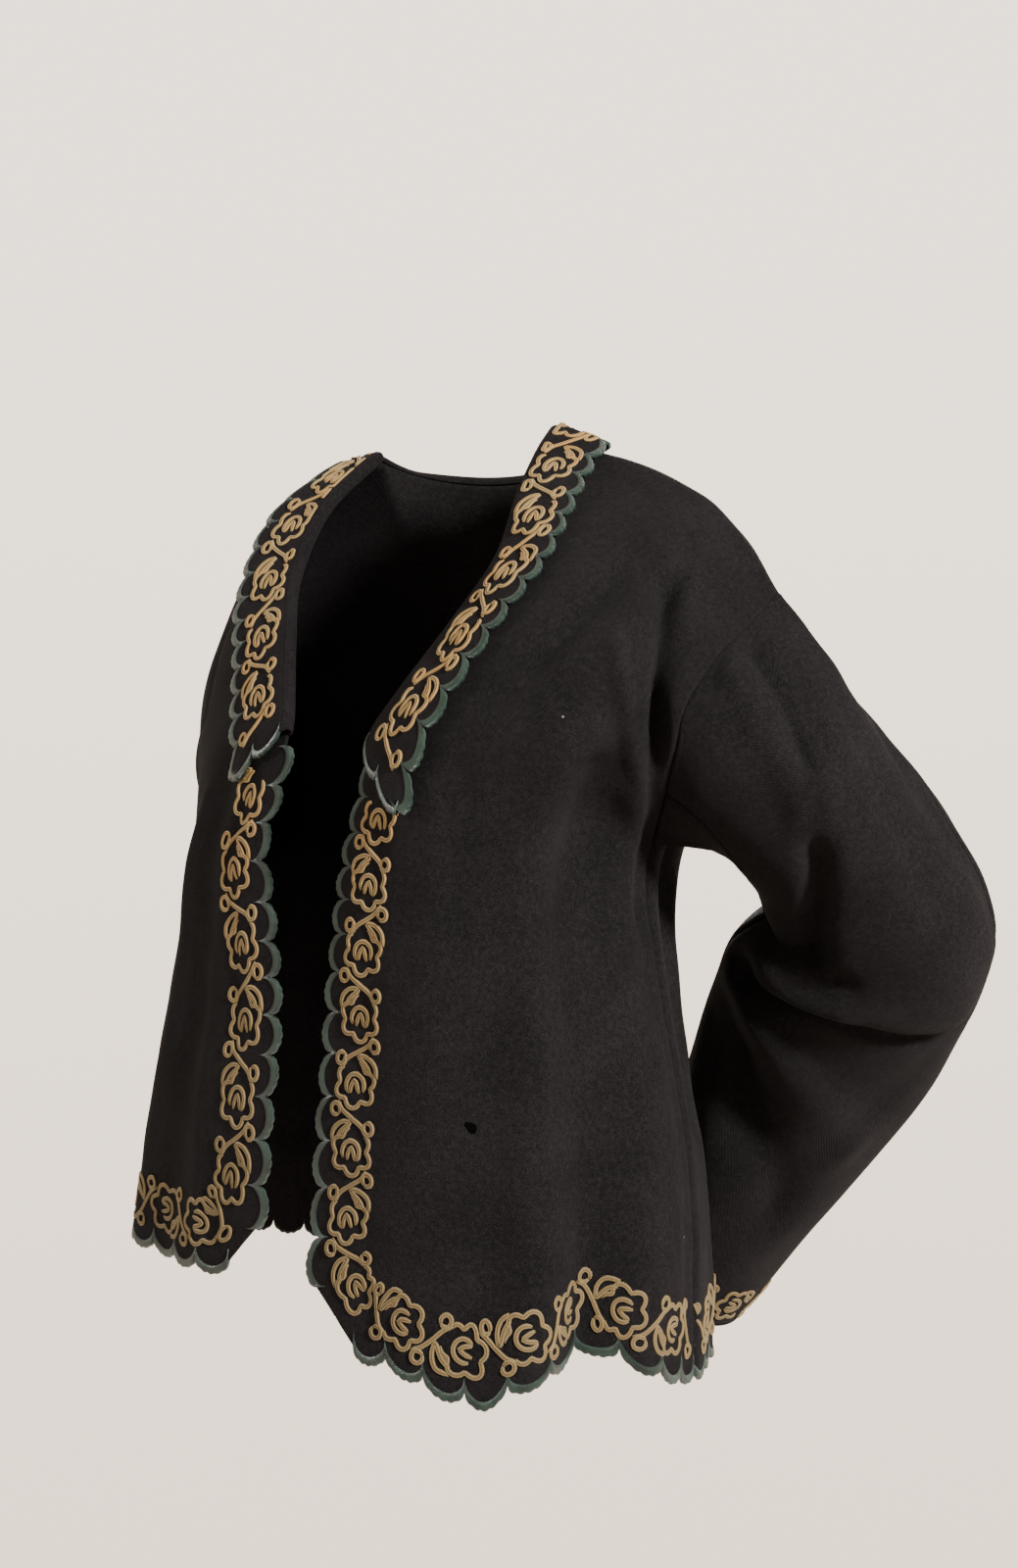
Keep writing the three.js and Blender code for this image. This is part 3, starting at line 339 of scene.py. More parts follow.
def armhole_point(side, q):
    """the armhole's line: down the front for the first half of q, up the back for the second"""
    r = q - np.floor(q)
    v = UNDERARM * (1 - np.abs(1 - 2 * r))
    a, o = look(SIDE[side], v), arm_offset(side, v)
    front = (r <= 0.5)[..., None]
    return a + np.concatenate([np.where(front, o[..., 0:2], o[..., 2:4]), 0 * r[..., None]], -1)


def sleeve_ring(side, q, t):
    """an oval with four half widths round the sleeve's line, turning from the armhole's plane to the arm's"""
    r, e = look(SLEEVE[side], t), 2e-3
    run = unit(look(SLEEVE[side], np.minimum(1, t + e))[..., :3] - look(SLEEVE[side], np.maximum(0, t - e))[..., :3])
    w = np.minimum(1, t / ARM_BEND)[..., None]
    along = unit(np.array(ARM_START[side]) * (1 - w) + run * w)
    tip = np.array(ARM_TIP[side]) * (1 - w) + np.array(ARM_OUT[side], float) * w
    out = unit(tip - along * (tip * along).sum(-1, keepdims=True))
    forward = np.cross(along, out) * side
    angle = 2 * np.pi * q + np.radians(r[..., 7])
    cu, cf = np.cos(angle), np.sin(angle)
    return (r[..., :3] + out * (cu * np.where(cu > 0, r[..., 3], r[..., 4]))[..., None]
            + forward * (cf * np.where(cf > 0, r[..., 5], r[..., 6]))[..., None])


def sleeve_plain(side, q, t):
    """the rings, drawn to the armhole's line at the top"""
    q, t = np.broadcast_arrays(q, t)
    top = armhole_point(side, q) - sleeve_ring(side, q, 0 * t)
    return sleeve_ring(side, q, t) + top * top_hold(t)[..., None]


class Panel:
    """A cut panel's surface: plain shape, folds and creases moved along its normal, seams pressed in."""

    def __init__(self, kind, side):
        self.kind, self.side, self.size, self.wraps = kind, side, PANEL_MM[kind], kind == "sleeve"
        self.plain = {"front": front_plain, "back": back_plain, "sleeve": sleeve_plain}[kind]
        self.folds = FOLDS[kind + str(side)]
        self.creases = CREASES[kind + str(side)]

    def base(self, a, b):
        return self.plain(self.side, a - np.floor(a) if self.wraps else a, b)

    def slope_normal(self, f, a, b, e=2e-3):
        """cross product of the surface's two slopes, turned to face away from the wearer"""
        low, high = (a - e, a + e) if self.wraps else (np.maximum(0, a - e), np.minimum(1, a + e))
        n = unit(np.cross(f(high, b) - f(low, b), f(a, np.minimum(1, b + e)) - f(a, np.maximum(0, b - e))))
        p = f(a, b)
        if self.wraps:
            away = p - look(SLEEVE[self.side], np.clip(b, 0, 1))[..., :3]
        else:
            away = np.stack([p[..., 0] + 10, p[..., 1] + 20, np.where(p[..., 2] > -60, 60, 0)], -1)
        return n * np.where((n * away).sum(-1, keepdims=True) < 0, -1, 1)

    def fade(self, a, b):
        """how much of the folds is left: they die out at the seams and the front edge or centre back"""
        if self.wraps:
            return ramp(0, 0.06, b)
        return ramp(0, 0.10, 1 - a) * ramp(0, 0.08 if self.kind == "front" else 0.10, b) * ramp(0, 0.12, a)

    def seam_distance(self, a, b):
        """millimetres to the nearest seam, about"""
        if self.wraps:
            turn = a * 24
            across = np.minimum(np.abs((turn + 2) % 24 - 12), np.abs((turn + 14) % 24 - 12)) / 24 * self.size[0]
            return np.minimum(across, b * self.size[1])
        top = np.where(a > NECK_SHARE * (self.kind == "back"), b * self.size[1], 99)
        return np.minimum((1 - a) * 200, top)

    def inside(self, a, b):
        """the worn surface within the cut: folds, a groove at the seam and a soft rim beside it"""
        p, seam = self.base(a, b), self.seam_distance(a, b)
        h = fold_height(self.folds + self.creases, a, b, self.size, self.wraps) * self.fade(a, b) + softness(p)
        h = h - 1.3 * np.exp(-((seam / 1.7) ** 2)) + 0.45 * np.exp(-(((seam - 5.5) / 3.0) ** 2))
        return p + self.slope_normal(self.base, a, b) * h[..., None]

    def under_collar(self, a, b):
        """the panel with its large folds only, which is what the collar lies on"""
        h = fold_height(self.folds, a, b, self.size, False) * self.fade(a, b)
        return self.base(a, b) + self.slope_normal(self.base, a, b) * h[..., None]

    def at(self, a, b):
        """the surface, run straight on past the front edge (a below 0) and the hem (b above 1)"""
        a, b = np.broadcast_arrays(np.asarray(a, float), np.asarray(b, float))
        ai, bi = (a if self.wraps else np.clip(a, 0, 1)), np.clip(b, 0, 1)
        p = self.inside(ai, bi)
        if not self.wraps and (a < 0).any():
            p = p + unit(p - self.inside(ai + 0.02, bi)) * (np.maximum(0, -a) * self.size[0])[..., None]
        if (b > 1).any():
            p = p + unit(p - self.inside(ai, bi - 0.01)) * (np.maximum(0, b - 1) * self.size[1])[..., None]
        return p

    def normal(self, a, b):
        """the worn surface's normal"""
        return self.slope_normal(self.inside, a if self.wraps else np.clip(a, 0, 1), np.clip(b, 0, 1), 4e-3)

    def steps(self, a, b):
        """how many millimetres the surface runs for one unit of a, and of b"""
        e = 0.01
        ai, bi = (a if self.wraps else np.clip(a, 0, 1 - e)), np.clip(b, e, 1)
        return self.stretch(ai, bi, e, 0), self.stretch(ai, bi, 0, -e)

    def stretch(self, a, b, da, db):
        """millimetres the plain surface runs in the step (da, db), over the step's size"""
        return np.linalg.norm(self.base(a + da, b + db) - self.base(a, b), axis=-1) / abs(da + db)


class WholeBack:
    """Both halves of the back as one panel: a runs from -1 at the right side seam to 1 at the left."""

    def __init__(self, left, right):
        self.halves, self.size, self.wraps = (left, right), left.size, False

    def _both(self, name, a, b):
        """one method's answer from either half"""
        a, b = np.broadcast_arrays(np.asarray(a, float), np.asarray(b, float))
        return [getattr(half, name)(np.abs(a), b) for half in self.halves]

    def at(self, a, b):
        left, right = self._both("at", a, b)
        return np.where((np.asarray(a) >= 0)[..., None], left, right)

    def normal(self, a, b):
        left, right = self._both("normal", a, b)
        k = ramp(-0.03, 0.03, np.asarray(a, float))[..., None] * np.ones_like(left)
        return unit(left * k + right * (1 - k))

    def steps(self, a, b):
        left, right = self._both("steps", a, b)
        return [np.where(np.asarray(a) >= 0, one, other) for one, other in zip(left, right)]


FRONT = {side: Panel("front", side) for side in (1, -1)}
BACK = {side: Panel("back", side) for side in (1, -1)}
ARM = {side: Panel("sleeve", side) for side in (1, -1)}
WHOLE_BACK = WholeBack(BACK[1], BACK[-1])


class Collar:
    """Half a collar. Its point is given by the station round the neck, the millimetres in from the neck edge
    and the height over the panel below. Stations run from the centre back, up over the shoulder and down the front."""

    def __init__(self, side):
        self.side = side

    def width(self, k):
        """from the neck edge to the outer edge"""
        return read(COLLAR_WIDTH[self.side], k / COLLAR_STATIONS)

    def lie(self, k):
        """height of the outer edge over the panel"""
        return read(COLLAR_LIE[self.side], k / COLLAR_STATIONS)

    def height(self, k, b):
        """of the fall: from the roll down to the outer edge, plus the stretch that stands off"""
        share = np.clip(b / self.width(k), 0, 1)
        ease = 0.9 * np.sin(share * np.pi) * np.sin(k * 1.7 + self.side) ** 2
        low = np.interp(b, *COLLAR_FALL)
        return low + (self.lie(k) - 5) * share**1.5 + ease

    def under(self, k, b):
        """panel point and normal b millimetres in from the neck edge"""
        back, front = BACK[self.side], FRONT[self.side]
        kb = np.minimum(k, NECK_STATIONS)
        s0, turn = NECK_SHARE * kb / NECK_STATIONS, np.pi / 2 * (1 - kb / NECK_STATIONS)
        ls, lv = back.stretch(s0, 0 * s0, 0.02, 0), back.stretch(s0, 0 * s0, 0, 0.02)
        bs, bv = np.clip(s0 + b * np.cos(turn) / ls, 0, 1), np.clip(b * np.sin(turn) / lv, 0, 1)
        v0 = np.maximum(k - NECK_STATIONS, 0) / ROWS
        fs, fv = front.stretch(0 * v0, v0, 0.05, 0), front.stretch(0 * v0, v0, 0, 0.02)
        drop = COLLAR_SLANT[self.side] * b / fv * (np.maximum(k - NECK_STATIONS, 0) / LAPEL_STATIONS) ** 3
        fa, fb = np.clip(b / fs, 0, 1), np.clip(v0 + drop, 0, 1)
        past_seam = ramp(NECK_STATIONS - 1.1, NECK_STATIONS, k)[..., None]
        point = back.under_collar(bs, bv) * (1 - past_seam) + front.under_collar(fa, fb) * past_seam
        mate = BACK[-self.side]
        centre = 0.5 * np.clip(1 - k / 0.6, 0, 1)[..., None]
        own, other = (half.slope_normal(half.base, bs, bv, 4e-3) for half in (back, mate))
        nb = own * (1 - centre) + other * centre
        front_share = ramp(NECK_STATIONS - 1.2, NECK_STATIONS + 1.2, k)[..., None]
        return point, unit(nb * (1 - front_share) + front.slope_normal(front.base, fa, fb, 4e-3) * front_share)

    def point(self, k, b, h):
        """h over the panel, b in from the neck edge; b below 0 stands out past that edge"""
        k, b, h = np.broadcast_arrays(np.asarray(k, float), np.asarray(b, float), np.asarray(h, float))
        p, n = self.under(k, np.maximum(b, 0))
        if (b < 0).any():
            q, _ = self.under(k, 0 * b + 1.5)
            p0, _ = self.under(k, 0 * b)
            p = np.where((b < 0)[..., None], p0 + unit(q - p0) * b[..., None], p)
        return p + n * h[..., None]

    def at(self, k, b):
        """the fall's surface"""
        k, b = np.broadcast_arrays(np.asarray(k, float), np.asarray(b, float))
        return self.point(k, b, self.height(k, b))

    def normal(self, k, b):
        e, g = 0.05, 0.6
        n = unit(np.cross(self.at(k + e, b) - self.at(np.maximum(k - e, 0), b), self.at(k, b + g) - self.at(k, b - g)))
        _, under = self.under(np.asarray(k, float) + 0 * b, np.maximum(b, 0))
        return n * np.where((n * under).sum(-1, keepdims=True) < 0, -1, 1)

    def steps(self, k, b):
        e, g = 0.1, 1.0
        p = self.at(k, b)
        return np.linalg.norm(self.at(k + e, b) - p, axis=-1) / e, np.linalg.norm(self.at(k, b + g) - p, axis=-1) / g

    def end_step(self):
        """millimetres for one station at the collar's end"""
        return self.steps(np.array([float(COLLAR_STATIONS)]), np.array([30.0]))[0][0]


COLLAR = {side: Collar(side) for side in (1, -1)}


def scallop_count(line, u0, u1):
    """how many scallops fit on a line between two of its shares"""
    return max(1, round(run_along(line(np.linspace(u0, u1, 41)))[-1] / SCALLOP))


def scallop_rise(u, u0, u1, n):
    """height past the notch line: depth times a flattened half sine in each scallop, nothing outside"""
    c = np.clip((u - u0) / (u1 - u0), 0, 1) * n % 1.0
    return np.where((u > u0) & (u < u1), SCALLOP_DEPTH * np.abs(np.sin(np.pi * c)) ** SCALLOP_POWER, 0)


IN_SCALLOP = np.array((0, .05, .14, .28, .42, .58, .72, .86, .95))
IN_BAND = np.concatenate([(0, .03, .07), np.linspace(.12, .88, 15), (.93, .97)])


def scallop_stations(u0, u1, n, inside=IN_SCALLOP):
    """grid stations that fall on every notch, close up beside it, and end on the last notch"""
    return np.append((u0 + (u1 - u0) * (np.arange(n)[:, None] + inside[None, :]) / n).ravel(), u1)


# ---- meshes ---------------------------------------------------------------------------------------
def new_piece(name, points, faces, uv, material):
    """points in millimetres, faces as rows of corners, uv for each point"""
    mesh = bpy.data.meshes.new(name)
    mesh.vertices.add(len(points))
    mesh.vertices.foreach_set("co", (np.asarray(points, float) / 1000).astype(np.float32).ravel())
    faces = np.asarray(faces, np.int32)
    mesh.loops.add(faces.size)
    mesh.loops.foreach_set("vertex_index", faces.ravel())
    mesh.polygons.add(len(faces))
    mesh.polygons.foreach_set("loop_start", np.arange(0, faces.size, faces.shape[1], dtype=np.int32))
    mesh.polygons.foreach_set("loop_total", np.full(len(faces), faces.shape[1], np.int32))
    mesh.update(calc_edges=True)
    mesh.validate()
    layer = mesh.uv_layers.new(name="cut")
    corner = np.empty(len(mesh.loops), np.int32)
    mesh.loops.foreach_get("vertex_index", corner)
    layer.data.foreach_set("uv", (np.asarray(uv, float)[corner] / 1000).astype(np.float32).ravel())
    mesh.polygons.foreach_set("use_smooth", np.ones(len(mesh.polygons), bool))
    mesh.materials.append(material)
    obj = bpy.data.objects.new(name, mesh)
    bpy.context.scene.collection.objects.link(obj)
    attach(obj, "root")
    return obj


def grid_faces(n, m):
    """faces of a grid of n rows of m points"""
    i = np.arange(n * m).reshape(n, m)
    return np.stack([i[:-1, :-1], i[1:, :-1], i[1:, 1:], i[:-1, 1:]], -1).reshape(-1, 4)


def grid_normals(p):
    """cross product of the grid's own slopes"""
    return unit(np.cross(np.gradient(p, axis=0), np.gradient(p, axis=1)))


def cloth_wall(name, p, facing, uv, material, keep=None):
    """a grid of middle points as a wall: one layer half the cloth out, one half in, closed by its rim"""
    n, m = p.shape[:2]
    normal = grid_normals(p)
    sign = np.sign((normal * facing).sum(-1).mean())
    flat, out = p.reshape(-1, 3), sign * normal.reshape(-1, 3) * CLOTH / 2
    faces = grid_faces(n, m)
    if keep is not None:
        faces = faces[keep.ravel()]
    if sign < 0:
        faces = faces[:, ::-1]
    total = n * m
    edges = np.stack([faces, np.roll(faces, -1, axis=1)], -1).reshape(-1, 2)
    _, first, count = np.unique(np.sort(edges, axis=1) @ np.array([total, 1]), return_index=True, return_counts=True)
    rim = edges[first[count == 1]]
    sides = np.stack([rim[:, 1], rim[:, 0], rim[:, 0] + total, rim[:, 1] + total], 1)
    walls = np.concatenate([faces, faces[:, ::-1] + total, sides])
    points, uvs = np.concatenate([flat + out, flat - out]), np.concatenate([uv.reshape(-1, 2)] * 2)
    used, back = np.unique(walls, return_inverse=True)
    return new_piece(name, points[used], back.reshape(walls.shape), uvs[used], material)


def cut_uv(panel, a, b):
    """millimetres across and down the panel's cut"""
    return np.stack([a * panel.size[0], b * panel.size[1]], -1)


def open_hole(panel, a, b):
    """the worn hole: the faces within its outline go, and the points round them move on to it"""
    across, down = panel.steps(np.array(HOLE["s"]), np.array(HOLE["v"]))
    dx, dy = (a - HOLE["s"]) * across, (b - HOLE["v"]) * down
    r, angle = np.hypot(dx, dy), np.arctan2(dy, dx)
    rim = HOLE["radius"] * (1 + 0.16 * np.sin(2 * angle + 0.6) + 0.10 * np.sin(5 * angle))
    middle = lambda g: (g[:-1, :-1] + g[1:, :-1] + g[1:, 1:] + g[:-1, 1:]) / 4
    keep = middle(r) > middle(rim)
    gone = np.zeros(r.shape, int)
    for i, j in ((0, 0), (1, 0), (0, 1), (1, 1)):
        gone[i:r.shape[0] - 1 + i, j:r.shape[1] - 1 + j] += ~keep
    snap = (gone > 0) & (gone < 4)
    return (np.where(snap, HOLE["s"] + rim * np.cos(angle) / across, a),
            np.where(snap, HOLE["v"] + rim * np.sin(angle) / down, b), keep)


def front_cloth(side, material, name):
    """the front's grid: its border follows the scallops and is drawn in at the corner to the straight cut"""
    panel, (vc, sc) = FRONT[side], CORNER[side]
    n_edge = scallop_count(lambda u: panel.base(0 * u, u), SCALLOPS_FROM, vc)
    n_hem = scallop_count(lambda u: panel.base(u, 0 * u + 1), sc, 1)
    v = np.concatenate([np.linspace(0, SCALLOPS_FROM, 84)[:-1], scallop_stations(SCALLOPS_FROM, vc, n_edge),
                        np.linspace(vc, 1, 7)[1:]])
    s = np.concatenate([np.linspace(0, sc, 9)[:-1], scallop_stations(sc, 1, n_hem)])
    w, u = np.meshgrid(v, s, indexing="ij")
    near_edge, near_hem = (1 - u) ** 9, w**16
    left, low = near_edge**0.6, near_hem
    down, over = np.clip((w - vc) / (1 - vc), 0, 1), np.clip(1 - u / sc, 0, 1)
    drawn = (down * left + over * low - left * low) / 2
    rise_edge = (scallop_rise(w, SCALLOPS_FROM, vc, n_edge) - NOTCH) * (w > BREAK)
    rise_hem = scallop_rise(u, sc, 1, n_hem) - NOTCH
    a = u - rise_edge / panel.size[0] * near_edge + sc * drawn
    b = w + rise_hem / panel.size[1] * near_hem - (1 - vc) * drawn
    a, b, keep = open_hole(panel, a, b) if side == 1 else (a, b, None)
    facing = panel.slope_normal(panel.base, np.clip(a, 0, 1), np.clip(b, 0, 1))
    obj = cloth_wall(name, panel.at(a, b), facing, cut_uv(panel, a, b), material, keep)
    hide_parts(name)
    return obj, (n_edge, n_hem)


def back_cloth(material):
    """both halves in one grid, from side seam to side seam, with the scalloped hem"""
    n_hem = scallop_count(lambda u: WHOLE_BACK.at(u, 0 * u + 1), -1, 1)
    v = np.concatenate([np.linspace(0, 0.9, 120)[:-1], np.linspace(0.9, 1, 18)])
    w, u = np.meshgrid(v, scallop_stations(-1, 1, n_hem), indexing="ij")
    b = w + (scallop_rise(u, -1, 1, n_hem) - NOTCH) / WHOLE_BACK.size[1] * w**16
    p = WHOLE_BACK.at(u, b)
    obj = cloth_wall("back_cloth", p, p - WAIST, cut_uv(WHOLE_BACK, u, b), material)
    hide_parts("back")
    return obj, n_hem


def sleeve_cloth(side, seams, node, material):
    """half a sleeve's grid, from seam to seam"""
    panel = ARM[side]
    t, q = np.meshgrid(np.linspace(0, 1, 190), np.linspace(*seams, 84), indexing="ij")
    facing = panel.slope_normal(panel.base, q, t)
    obj = cloth_wall(node + "_cloth", panel.at(q, t), facing, cut_uv(panel, q, t), material)
    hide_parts(node)
    return obj


def collar_cloth(side, material, name):
    """the collar's grid: roll first, then the fall to its scalloped edge; the last stations run on to its end"""
    collar, last = COLLAR[side], float(COLLAR_STATIONS)
    n_out = scallop_count(lambda u: collar.at(u, collar.width(u)), 0, last)
    n_end = scallop_count(lambda u: collar.at(0 * u + last, collar.width(0 * u + last) * (1 - u)), 0, 1)
    k = scallop_stations(0, last, n_out)
    roll = np.linspace(0, 5, 14)[:-1]
    fall = np.concatenate([np.linspace(0, 0.7, 16)[:-1], np.linspace(0.7, 1, 12)])
    kr, rr = np.meshgrid(k, roll, indexing="ij")
    br, hr = np.moveaxis(look(COLLAR_ROLL, rr), -1, 0)
    kf, ff = np.meshgrid(k, fall, indexing="ij")
    bf = FALL_FROM + (collar.width(kf) - FALL_FROM) * ff + (scallop_rise(kf, 0, last, n_out) - 0.4) * ff**7
    rise_end = scallop_rise(1 - ff, 0, 1, n_end) * END_SCALLOP - 0.4
    ke = kf + (kf / last) ** 40 * rise_end / collar.end_step()
    p = np.concatenate([collar.point(kr, br, hr), collar.point(ke, bf, collar.height(ke, bf))], 1)
    facing = np.concatenate([0 * p[:, :len(roll)], collar.under(kf, bf)[1]], 1)
    uv = np.concatenate([np.stack([kr * STATION_MM, br - hr], -1), np.stack([kf * STATION_MM, bf + 6], -1)], 1)
    obj = cloth_wall(name + "_cloth", p, facing, uv, material)
    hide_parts(name)
    return obj, (n_out, n_end)


# ---- satin-stitched scallops -----------------------------------------------------------------------
BAND_IN, BAND_REACH = -9.0, 12.6     # the tick's end, and how far the inner arc swings out from it
LOBES = 5
BAND_ACROSS = np.array((0.0, 0.10, 0.35, 0.65, 0.90, 1.0, 1.0, 0.80))
BAND_LIFT = np.array((0.55, 1.25, 1.55, 1.55, 1.30, 0.60, -1.05, -1.15))


def band_strip(place, normal, stations, share, count):
    """a padded band between an inner arc and the scallop's outline with small lobes, with its own cut;
    place and normal take a station and the height past the notches"""
    c = np.mod(share * count, 1.0)
    arch = np.abs(np.sin(np.pi * c))
    outer = SCALLOP_DEPTH * arch**SCALLOP_POWER + 0.2 + 1.25 * np.abs(np.sin(LOBES * np.pi * c)) ** 0.7
    inner = np.minimum(BAND_IN + BAND_REACH * arch**0.42, outer - 0.6)
    h = inner[:, None] + (outer - inner)[:, None] * BAND_ACROSS[None, :]
    u = stations[:, None] + 0 * h
    rings = place(u, h) + normal(u, np.minimum(h, 0)) * BAND_LIFT[None, :, None]
    uv = np.stack([run_along(rings[:, 2])[:, None] + 0 * h, np.linspace(0, 8, len(BAND_LIFT))[None, :] + 0 * h], -1)
    return rings, uv


def ring_faces(n, m):
    """faces of n rings with m points each, closed round"""
    i = np.arange(n * m).reshape(n, m)
    j = np.roll(i, -1, axis=1)
    return np.stack([i[:-1], j[:-1], j[1:], i[1:]], -1).reshape(-1, 4)


def turned_out(points, faces, centre_rings):
    """flips a tube's faces if they point in"""
    a, b, c = points[faces[:, 0]], points[faces[:, 1]], points[faces[:, 2]]
    out = (np.cross(b - a, c - a) * (a - centre_rings[faces[:, 0]])).sum()
    return faces if out > 0 else faces[:, ::-1]


def joined_tubes(name, tubes, material):
    """tubes are (rings, uv) pairs; every one becomes a closed skin with its ends drawn together"""
    points, faces, uvs, at = [], [], [], 0
    for rings, uv in tubes:
        n, m = rings.shape[:2]
        mean = rings.mean(1, keepdims=True)
        first, final = (np.repeat(mean[i], m, 0)[None] * 0.98 + rings[i][None] * 0.02 for i in (0, -1))
        closed = np.concatenate([first, rings, final])
        flat = closed.reshape(-1, 3)
        points.append(flat)
        faces.append(turned_out(flat, ring_faces(n + 2, m), np.repeat(closed.mean(1), m, axis=0)) + at)
        uvs.append(np.concatenate([uv[:1], uv, uv[-1:]]).reshape(-1, 2))
        at += len(flat)
    return new_piece(name, np.concatenate(points), np.concatenate(faces), np.concatenate(uvs), material)


def fine_shares(count):
    """shares along a band with this many scallops, close beside each notch"""
    return scallop_stations(0, 1, count, IN_BAND)


def front_bands(side, counts):
    """down the front edge, then along the hem"""
    panel, (vc, sc) = FRONT[side], CORNER[side]
    g = fine_shares(counts[0])
    v = SCALLOPS_FROM + (vc - SCALLOPS_FROM) * g
    step = panel.steps(0 * v, v)[0]
    past = lambda u, h: -h / np.where(h > 0, panel.size[0], np.interp(u, v, step))
    edge = band_strip(lambda u, h: panel.at(past(u, h), u), lambda u, h: panel.normal(past(u, h), u), v, g, counts[0])
    return [edge, hem_band(panel, sc, counts[1])]


def hem_band(panel, start, count):
    """along a hem, from the share start to the side seam"""
    g = fine_shares(count)
    s = start + (1 - start) * g
    step = panel.steps(s, 0 * s + 1)[1]
    past = lambda u, h: 1 + h / np.where(h > 0, panel.size[1], np.interp(u, s, step))
    return band_strip(lambda u, h: panel.at(u, past(u, h)), lambda u, h: panel.normal(u, past(u, h)), s, g, count)


def collar_bands(side, counts):
    """along the collar's outer edge, then across its end"""
    collar, last = COLLAR[side], float(COLLAR_STATIONS)
    g, e = fine_shares(counts[0]), fine_shares(counts[1])
    wide = float(collar.width(np.array(last)))
    edge = lambda u, h: (u, collar.width(u) + h)
    end = lambda u, h: (last + h * END_SCALLOP / collar.end_step(), wide + (FALL_FROM - wide) * u)
    return [band_strip(lambda u, h: collar.at(*line(u, h)), lambda u, h: collar.normal(*line(u, h)), k, share, count)
            for line, k, share, count in ((edge, last * g, g, counts[0]), (end, e, e, counts[1]))]


# ---- corded flowers ----------------------------------------------------------------------------------
PITCH, RING = 40.0, 3.5         # from flower to flower, and the small rings' radius
FLOWER_MIDDLE = 5.5
FOOT = 0.4                      # the cord's underside over the panel's surface
CORD_WIDTH = np.array((-1.45, -1.25, -0.72, 0.0, 0.72, 1.25, 1.45, 0.0))
CORD_LIFT = np.array((0.75, 1.55, 1.95, 1.35, 1.95, 1.55, 0.75, FOOT))


def dense(points, spacing=1.3):
    """a polyline as evenly spaced points on a smooth line through it"""
    t = run_along(np.asarray(points, float))
    q = look(np.column_stack([t, points]), np.linspace(0, t[-1], max(8, int(t[-1] * 3))))
    run = run_along(q)
    even = np.linspace(0, run[-1], max(4, int(run[-1] / spacing)))
    return np.column_stack([np.interp(even, run, q[:, c]) for c in (0, 1)])


def flower_strokes(sway, size=1.0):
    """one flower of the border, x along it, y in from the edge: petal outline, curled bud with its folded inner
    petal, open leaf, slanting stem and its two rings. sway varies the hand of each one a little."""
    turn = np.radians(np.linspace(-140, 172, 80))
    petal = 9.5 + 4.1 * np.sqrt(np.cos(3 * turn + 0.4 + 0.15 * sway) ** 2 + 0.02)
    outline = np.column_stack([petal * np.cos(turn) * 1.04, petal * np.sin(turn) * 1.10])
    curl = np.radians(np.linspace(58 + 10 * sway, 318, 46))
    hook = np.column_stack([6.6 * np.cos(curl), 0.1 + 6.3 * np.sin(curl)])
    eye = [(4.9, -4.1), (4.2, -3.2), (0.9, -2.5), (-2.8, -0.4), (-2.4, 0.3), (0.7, 1.7 + 0.3 * sway), (5.0, 2.7)]
    leaf = [(-6.2, 11.8), (-11.4, 8.6), (-16.6, 2.2), (-17.6, 1.6), (-17.2, 8.2), (-12.8, 14.4 + sway), (-5.6, 15.6)]
    stem = [(10.0, -11.6), (15.0, -8.2 + sway), (20.0, -1.0), (25.0, 7.0 - sway), (30.2, 10.8)]
    ring = np.radians(np.linspace(0, 372, 20))
    ring_a, ring_b = (np.column_stack([x + RING * np.cos(ring + turned), y + RING * np.sin(ring + turned)])
                      for x, y, turned in ((15.2, -13.2, 0.6), (24.8, 11.8, 3.7)))
    lines = (outline, hook, eye, leaf, stem, ring_a, ring_b)
    return [(dense(line) * size, lift) for line, lift in zip(lines, (0, 0.05, 0, 0.1, 0.15, 0.3, 0.3))]


def border_track(panel, points, inward):
    """a line of panel parameters: the millimetres along it, its points, and how the parameters change for one
    millimetre in from the edge, towards inward"""
    pts = np.asarray(points, float)
    a, b = pts.T
    p = panel.at(a, b)
    e, g = (0.02, 0.3) if isinstance(panel, Collar) else (1e-3, 1e-3)
    da = (panel.at(a + e, b) - panel.at(a - e, b)) / (2 * e)
    db = (panel.at(a, b + g) - panel.at(a, b - g)) / (2 * g)
    side = np.cross(unit(np.cross(da, db)), unit(np.gradient(p, axis=0)))
    aa, ab, bb = (da * da).sum(1), (da * db).sum(1), (db * db).sum(1)
    sa, sb = (side * da).sum(1), (side * db).sum(1)
    change = np.column_stack([sa * bb - sb * ab, sb * aa - sa * ab]) / (aa * bb - ab * ab)[:, None]
    change *= np.where((change * np.asarray(inward)).sum(1) < 0, -1, 1)[:, None]
    even = np.full(9, 1 / 9)
    change = np.column_stack([np.convolve(np.pad(c, 4, mode="edge"), even, "valid") for c in change.T])
    return run_along(p), pts, change


